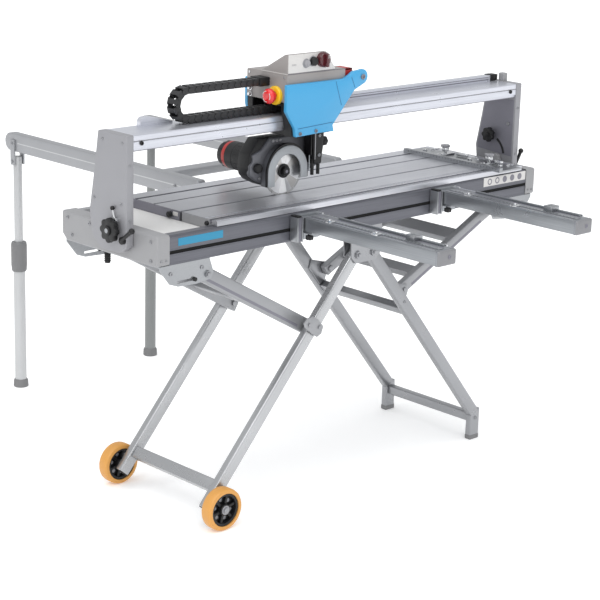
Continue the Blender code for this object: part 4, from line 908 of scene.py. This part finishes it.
def make_head_covers():
    outline = [(409, 984), (408, 923), (436, 882), (439, 863), (515, 865.5),
               (560, 865), (556, 880), (624, 955), (657, 968), (666, 979),
               (664, 992), (652, 1001), (636, 1004), (612, 993), (590, 984)]
    smooth = outline[:8]
    smooth += arc((648.5, 984), 17.5, -62, 112, 12)
    smooth += [(620, 998.5), (606, 990.5), (590, 984)]
    left_cut = [(max(x, 424), z) for x, z in smooth]
    for name, low, high, face, way, node in (
        ("front", 40.8, 51.7, 40.8, -1, "head_cover"),
        ("rear", 190.3, 200.8, 200.8, 1, "rear_cover"),
    ):
        cover = Shape(name + "_cover_skin", "carriage", "blue", node)
        cover.prism(smooth if name == "front" else left_cut, "Y", low, high, 2, 3, 18)
        lip = [(426, 980), (590, 981.2), (606, 988), (606, 989.5), (590, 982.8),
               (426, 981.6)]
        cover.prism(lip, "Y", face + way * 0.3, face - way * 2, 0.2, 1)
        # darker blue lines along the cover's creases are painted shade
        grooves = Shape(name + "_cover_creases", "carriage", "crease_painted_shade")
        for a, b in (((564, 972), (581.5, 923.5)), ((612, 986), (624, 961)),
                     ((564, 972), (562, 980)), ((444, 882), (555, 886.8))):
            dx, dz = b[0] - a[0], b[1] - a[1]
            n = math.hypot(dx, dz)
            px, pz = -dz / n * 0.9, dx / n * 0.9
            line = [(a[0] + px, a[1] + pz), (b[0] + px, b[1] + pz),
                    (b[0] - px, b[1] - pz), (a[0] - px, a[1] - pz)]
            grooves.prism(line, "Y", face + way * 0.3, face - way)
        screws = Shape(name + "_cover_screws", "carriage", "satin_black" if name == "rear" else "inner",
                       slot="dark_grey")
        for x, z in ((451, 870), (501, 872)):
            screws.screw((x, face, z), (0, way, 0), 4.2, 3)
        screws.screw((648.5, face, 984), (0, way, 0), 6.2, 3.4)
    grip = Shape("handle_grip", "carriage", "rubber", "handle_bar")
    profile = [(0, 0)]
    for i in range(24):
        h = 1.5 + i * 5.6
        profile += [(9.3, h), (9.3, h + 3.8), (8.6, h + 4.4), (8.6, h + 5.2)]
    profile += [(9.3, 136.5), (0, 136.5)]
    grip.turned(profile, (644.5, 52.2, 985.5), (0, 1, 0), 24)
    inlet = Shape("inlet_housing", "carriage", "motor_red", "power_inlet")
    inlet.box((BOX_RIGHT + 0.3, 608.5), (57.5, 100.5), (971.5, 1004.8), 1.5, 3)
    for y0, y1, z0, z1 in ((59, 64, 973, 1004), (94.5, 99.5, 973, 1004),
                           (59, 99.5, 973, 977.5), (59, 99.5, 999.5, 1004)):
        inlet.box((607, 631.5), (y0, y1), (z0, z1), 0.8)
    inlet.box((605, 616.5), (62, 96.5), (976, 1001), 0.5, 1)
    pins = Shape("inlet_pins", "carriage", "chrome", slot="steel")
    for y, z in ((70, 995), (88, 995), (79, 982)):
        pins.rod((616, y, z), (628, y, z), 2.2, 14, bevel=0.5)


CHAIN_Y = (112, 142)


def link(shape, origin, angle, pitch):
    """One chain link: two side plates, two cross bars and rivet heads."""
    turn = about_y(origin, angle)
    half, high = pitch / 2, 8.2
    y0, y1 = CHAIN_Y
    for y in ((y0 + 0.4, y0 + 4.6), (y1 - 4.6, y1 - 0.4)):
        shape.box((-half * 0.93, half * 0.93), y, (-high, high), 1.2, 2, turn)
    for z in ((high - 3, high - 0.2), (0.2 - high, 2.6 - high)):
        shape.box((-half * 0.62, half * 0.62), (y0 + 3, y1 - 3), z, 0.7, 1, turn)
    for y, way in ((y0 + 0.6, -1), (y1 - 0.6, 1)):
        shape.rod(turn @ Vector((-half, y, 0)), turn @ Vector((-half, y + way, 0)), 4, 14)


def make_chain():
    bend = (183, 951.5)
    inner, outer = 24, 41
    middle = (inner + outer) / 2
    pitch = 19
    low, high = bend[1] - middle, bend[1] + middle
    lower = Shape("chain_links_lower", "chain", "chain", "cable_chain")
    count = 6
    for i in range(count):
        turn = math.pi * (i + 0.5) / count
        link(lower, polar(bend, middle, math.pi / 2 + turn), turn, math.pi * middle / count)
    x = bend[0] + pitch / 2
    while x < 555:
        link(lower, (x, low), math.pi, pitch)
        x += pitch
    ends = [CORNER + Vector((x, 127, high)) * MM for x in (bend[0], BOX_LEFT)]
    upper = Shape("chain_links_upper", None, "chain", "chain_run", blend=("chain", "carriage", *ends))
    x = bend[0] + pitch / 2 + 0.3
    while x + pitch / 2 < BOX_LEFT - 4:
        link(upper, (x, high), 0, pitch)
        x += pitch
    entry = Shape("chain_end_fitting", "carriage", "black")
    entry.box((BOX_LEFT - 30, BOX_LEFT - 0.3), (109.5, 144.5), (high - 10.1, high + 10.1), 1.5)


# ---------------------------------------------------------------- cutting unit


BLADE = (480, 768)
MOTOR = (481, 777)
CASTING = [(442, 848.3), (417, 823), (388, 813), (392, 799), (381, 790),
           (381.5, 766), (396, 753), (430, 737), (522, 737), (548, 752), (600, 768),
           (602, 815), (566, 828.5), (548, 848.3)]


def make_cutting_unit():
    plate = Shape("guide_block", "carriage", "satin_black", "guide_bracket")
    taper = [(549.5, 861.5), (584.5, 861.5), (582.5, 818), (579, 796), (577, 778.5),
             (555, 778.5), (552, 800)]
    plate.prism(taper, "Y", 96.5, 127, 2.5, 3, 15)
    plate.box((546, 549), (100, 124), (800, 856), 0.8, 1)
    plate.rod((582, 112, 828), (588.5, 112, 828), 7.5, 24, bevel=0.6)
    for x in (556, 575):
        plate.rod((x, 106, 790), (x, 106, 752), 4.2, 18, bevel=0.8)
    trim = Shape("guide_trim", "carriage", "tube")
    trim.box((554, 556.2), (95.2, 97), (790, 855), 0.5, 1)
    for z in (846, 800):
        trim.screw((567, 96.5, z), (0, -1, 0), 4)

    body = Shape("housing_casting", "cutting_unit", "cast", "gear_housing")
    points = [(380, 782), (384, 764), (396, 752), (430, 736), (522, 736),
              (548, 752), (600, 768), (602, 815), (566, 828.5), (548, 848.3),
              (412, 848.3), (385, 815)]
    body.prism(CASTING, "Y", 129.2, 144, 4.5, 3, 15)
    Shape("housing_back", "cutting_unit", "satin_black").prism(points, "Y", 135.2, 174.2, 3, 2, 15)
    screws = Shape("housing_screws", "cutting_unit", "tube")
    for x, z, radius, height in ((450, 840.5, 3.4, 2.4), (461, 840.5, 3.4, 2.4), (472, 840.5, 3.4, 2.4),
                                 (409.5, 756.5, 3.4, 2.4), (593, 805, 4, 2.6), (593, 778, 4, 2.6)):
        screws.screw((x, 129.2, z), (0, -1, 0), radius, height)
    knob_piece = Shape("housing_knob", "cutting_unit", "satin_black")
    knob_piece.turned([(0, 11.8), (7, 12), (10, 10.8), (11.4, 8), (11.2, 3),
                       (9, 0), (0, 0)], (400, 129, 782.5), (0, -1, 0), 28)

    motor = Shape("motor_shell", "cutting_unit", "black", "motor_body")
    start = (MOTOR[0], 174.8, MOTOR[1])
    profile = [(0, 0), (30, 0), (30.5, 15), (34, 20), (34, 48), (33.2, 49),
               (33.2, 52), (34, 53), (34, 94), (33.2, 95), (33.2, 98), (34, 99),
               (34, 122), (0, 122)]
    motor.turned(profile, start, (0, 1, 0), 48)
    for i in range(18):
        turn = about_y(MOTOR, 2 * math.pi * i / 18)
        motor.box((33.2, 34.7), (230, 266), (-1.4, 1.4), 0.5, 1, turn)
    cap = Shape("motor_end_cap", "cutting_unit", "motor_red")
    cap.turned([(0, 0), (33.6, 0), (33.8, 6), (32.5, 12), (0, 12)],
               (MOTOR[0], 296.3, MOTOR[1]), (0, 1, 0), 48)
    rear = Shape("motor_rear_cover", "cutting_unit", "satin_black")
    rear.turned([(0, 0), (32.2, 0), (31.2, 12), (29, 18.5), (20, 19.2), (0, 19.2)],
                (MOTOR[0], 308.3, MOTOR[1]), (0, 1, 0), 48)
    vents = Shape("motor_vents", "cutting_unit", "satin_black")
    for i in range(12):
        turn = about_y(MOTOR, 2 * math.pi * i / 12)
        vents.box((29.6, 32.6), (309.5, 319), (-3, 3), 0.5, 1, turn)


def make_guard():
    cx, cz = BLADE
    guard = Shape("guard_arch", "cutting_unit", "guard", "blade_guard")
    outer, inner = 62, 41.5
    face = [(cx + outer, 749.2)] + arc(BLADE, outer, 0, 180, 48)
    face += [(cx - outer, 738.2), (cx - inner, 738.2)]
    face += arc(BLADE, inner, 180, 0, 40) + [(cx + inner, 749.2)]
    guard.prism(face, "Y", 106.2, 111.2, 1.4, 3, 40)
    step = arc(BLADE, 59, 8, 172, 44) + arc(BLADE, 57, 172, 8, 44)
    guard.prism(step, "Y", 105.6, 107, 0.3, 1, 40)
    guard.box((cx + 66.5, cx + 69), (106, 109), (762, 818), 0.8, 1)
    shroud = Shape("guard_shroud", "cutting_unit", "satin_black")
    crown = []
    for i in range(61):
        a = 3 * i
        bulge = 2.2 * math.sin(math.radians(min(max(a - 35, 0), 115) * 180 / 115)) ** 0.7
        crown.append(polar(BLADE, 65.5 + bulge, math.radians(a)))
    rim = [(cx + 65.5, 749.2)] + crown + [(cx - 65.5, 738.2), (cx - 61.5, 738.2)]
    rim += arc(BLADE, 61.5, 180, 0, 48) + [(cx + 61.5, 749.2)]
    shroud.prism(rim, "Y", 108.8, 114, 0.8, 2, 40)
    core = Shape("guard_core", "cutting_unit", "cast")
    band = [(cx + 64.5, 749.2)] + arc(BLADE, 64.5, 0, 180, 60) + [(cx - 64.5, 738.2), (cx - 60, 738.2)]
    band += arc(BLADE, 61, 180, 0, 48) + [(cx + 61, 749.2)]
    core.prism(band, "Y", 113.8, 129.2, 0.6, 1, 40)

    disc = Shape("blade_disc", "spindle", "steel", "blade")
    teeth = 14
    points = []
    for i in range(teeth):
        a0, end = 360 * i / teeth, 360 * (i + 1) / teeth
        points += arc(BLADE, 59, a0 + 0.9, end - 0.9, 6) + arc(BLADE, 52, end - 0.7, end + 0.7, 1)
    disc.prism(points, "Y", 124.1, 125.9)
    edge = Shape("blade_segments", "spindle", "rim")
    for i in range(teeth):
        a0, end = 360 * i / teeth + 1.2, 360 * (i + 1) / teeth - 1.2
        rim = arc(BLADE, 59, a0, end, 6) + arc(BLADE, 53.5, end, a0, 6)
        edge.prism(rim, "Y", 123.9, 126.1)
    # painted reflection on the blade: darker shade fans and bright shine fans as thin sectors
    for name, look_name, starts in (("blade_shades", "steel_painted_shade", (198, 302, 18, 112)),
                                    ("blade_shines", "steel_painted_shine", (256, 76))):
        fans = Shape(name, "spindle", look_name)
        for a0 in starts:
            painted_reflection_fan = arc(BLADE, 52.5, a0, a0 + 28, 10) + arc(BLADE, 17, a0 + 28, a0, 6)
            fans.prism(painted_reflection_fan, "Y", 123.9, 126.1)
    nut = Shape("blade_nut", "spindle", "satin_black", "blade_flange")
    nut.turned([(0, 0), (16.5, 0), (16.5, 3.5), (15, 4.8), (0, 4.8)],
               (cx, 123.6, cz), (0, -1, 0), 40)
    nut.rod((cx, 119.2, cz), (cx, 111.2, cz), 11.8, 6, bevel=1.2)
    nut.rod((cx, 123, cz), (cx, 128.3, cz), 6.8)
    tip = Shape("spindle_tip", "spindle", "inner", slot="steel")
    tip.turned([(0, 1.2), (3, 1), (4.2, 0), (0, 0)], (cx, 111.4, cz), (0, -1, 0), 20)


# ---------------------------------------------------------------- arms


def make_front_arms():
    for side, x in (("left", 408), ("right", 876)):
        end = x + 56
        body = side + "_arm"
        arm = Shape(side + "_arm_extrusion", body, "arm", side + "_front_arm")
        arm.box((x, end), (-433, -11), (662, 695), 3, 3)
        arm.box((end - 12, end - 6), (-404.5, -90), (694, 700), 1)
        arm.box((x + 1, x + 6.5), (-420, -30), (694, 696.2), 0.5, 1)
        arm.box((x + 15, x + 30), (-420, -30), (694.5, 696.6), 0.6, 1)
        plate = Shape(side + "_arm_plate", body, "arm")
        plate.box((x - 19.5, end + 6), (-11.5, -1.4), (638, 698.5), 1)
        plate.box((x + 4, x + 22), (-48, -12), (656, 662.5), 1.5)
        hook = Shape(side + "_arm_hook", body, "zinc", slot="pale_aluminium")
        hook.box((x - 21, x - 16.5), (-27, -1.4), (638, 696), 1)
        hook.box((x - 6.5, x - 2), (-27, -11), (638, 696), 1)
        dark = Shape(side + "_arm_slots", body, "inner")
        dark.box((x + 8, x + 13), (-414.5, -30), (693.5, 695.3))
        dark.box((x + 33, x + 40), (-414.5, -30), (693.5, 695.5))
        dark.box((x - 16.5, x - 6.5), (-24, -10), (639, 695))
        Shape(side + "_hook_cap", body, "black").box((x - 21.5, x - 9.5), (-27.5, -3), (695, 699.8), 1.5)
        cap = Shape(side + "_arm_end_cap", body, "rail_light", slot="light_grey")
        cap.box((x - 0.2, end + 0.2), (-434.5, -427), (661.4, 695.2), 4, 3)
        seam = Shape(side + "_arm_end_seam", body, "inner")
        seam.box((x - 0.3, end + 0.3), (-426.8, -425.9), (661.3, 695.3), 0.2, 1)
        seam.screw((x + 34, -434.4, 680), (0, -1, 0), 5.2, 1.2)
        rod = Shape(side + "_arm_rule_rod", body, "chrome")
        rod.rod((end + 1.5, -400, 693.5), (end + 1.5, -20, 693.5), 2.2, 12)
        for y in (-400, -275, -120, -22):
            rod.box((end - 1, end + 4.5), (y - 5, y + 5), (689, 697.5), 1)
        for y in (-245, -100):
            rod.box((x - 1.2, x + 16), (y - 10, y + 10), (695, 699.5), 1.5)
            rod.screw((x + 7.5, y, 699.4), (0, 0, 1), 4, 3)
        ticks = Shape(side + "_arm_ticks", body, "black")
        for i in range(37):
            y = -410 + i * 10
            long = 6.8 if i % 5 == 0 else 4
            ticks.box((x + 16, x + 16 + long), (y - 0.35, y + 0.35), (696.2, 696.85))
        low, high = extent(side + "_arm_stop")
        stop = Shape(side + "_stop_block", side + "_stop", "zinc", side + "_arm_stop")
        stop.box((low.x, high.x), (low.y, high.y), (low.z, high.z - 1), 2, 3)
        stop.screw(((low.x + high.x) / 2 - 4, (low.y + high.y) / 2, high.z - 1.2), (0, 0, 1), 5, 1.2)


PIVOT_Y = 1103


def make_rear_frame():
    for side, x in (("left", 405), ("right", 868)):
        y0 = WIDTH + 0.3
        half = (716 - 667) / 2
        middle = 667 + half
        points = [(y0, 640), (y0 + 12, 640), (y0 + 30, 667)]
        points += arc((1143 - half, middle), half, -90, 90, 20)[:-1]
        points += [(1143 - half, 716), (y0 + 12, 716), (y0, 700)]
        arm = Shape(f"rear_{side}_arm_tube", "base", "silver", f"rear_{side}_arm")
        arm.prism(points, "X", x, x + 25, 2.8, 3, 25)
        for a, b in ((x - 5, x + 0.5), (x + 24.5, x + 30)):
            arm.box((a, b), (1094, 1112), (630, 700), 1.4)
        bolts = Shape(f"rear_{side}_arm_bolts", "base", "tube")
        for xx, way in ((x - 5, -1), (x + 30, 1)):
            bolts.bolt((xx, PIVOT_Y, 640), (way, 0, 0), 4.5, 2.4)
            bolts.screw((xx, PIVOT_Y, 690), (way, 0, 0), 4, 2.2)
        bolts.rod((x - 5, PIVOT_Y, 640), (x + 30, PIVOT_Y, 640), 4, 16)
        for yy in (380, 425):
            bolts.screw((x, yy, 690), (-1, 0, 0), 4, 2.6)
            bolts.screw((x + 25, yy, 690), (1, 0, 0), 4, 2.6)
        groove = Shape(f"rear_{side}_arm_line", "base", "leg_light")
        for xx in (x - 0.3, x + 24.7):
            groove.box((xx, xx + 0.6), (370, 1085), (690, 692.5))
        cx = x + 12.5
        # lit and shaded copies of one silver: the right rear leg gets the darker copy as painted shade, the
        # left the lighter copy
        metal = "leg_light" if side == "left" else "leg_painted_shade"
        leg = Shape(f"rear_{side}_leg_tube", f"rear_{side}_leg", metal, f"rear_{side}_leg_upper")
        leg.rod((cx, PIVOT_Y, 270), (cx, PIVOT_Y, 652.5), 11.8, 36, bevel=1.5)
        low = Shape(f"rear_{side}_leg_sleeve", f"rear_{side}_foot", metal, f"rear_{side}_leg_lower")
        low.turned([(12.3, 400), (16, 400), (16, 19), (0, 19), (0, 30), (12.3, 30),
                    (12.3, 400)], (cx, PIVOT_Y, 0), (0, 0, 1), 36)
        collar = Shape(f"rear_{side}_leg_collar", f"rear_{side}_foot", "collar")
        collar.turned([(12.4, 415), (19, 415), (20.8, 412), (21.5, 406), (21.5, 350),
                       (20.5, 336), (19, 333), (16.1, 333), (16.1, 399), (12.4, 401),
                       (12.4, 415)], (cx, PIVOT_Y, 0), (0, 0, 1), 36)
        for px, py in circle((cx, PIVOT_Y), 20.6, 10):
            collar.rod((px, py, 348), (px, py, 407), 1.2, 8)
        foot = Shape(f"rear_{side}_leg_foot", f"rear_{side}_foot", "foot_grey", slot="silver")
        foot.turned([(0, 0), (19, 0), (20.5, 2), (19.8, 18), (17, 22.5),
                     (15.8, 22.5), (15.8, 19.5), (0, 19.5)], (cx, PIVOT_Y, 0), (0, 0, 1), 36)
    low, high = extent("rear_crossbar")
    cross = Shape("rear_cross_tube", "base", "silver", "rear_crossbar")
    cross.box((low.x, high.x), (low.y, high.y), (low.z, high.z), 3, 3)
    plugs = Shape("rear_cross_screws", "base", "satin_black")
    for x in (low.x + 10, high.x - 10):
        plugs.screw((x, (low.y + high.y) / 2, high.z), (0, 0, 1), 4.6, 2.6)


make_stage()
make_covers()
make_rail_trim()
make_table_trim()
make_fence_trim()
make_legs()
make_braces()
make_brackets()
make_wheels()
make_uprights()
make_beam()
make_knobs()
make_saddle()
make_box()
make_estop()
make_head_covers()
make_chain()
make_cutting_unit()
make_guard()
make_front_arms()
make_rear_frame()
for shape in Shape.made:
    shape.finish()
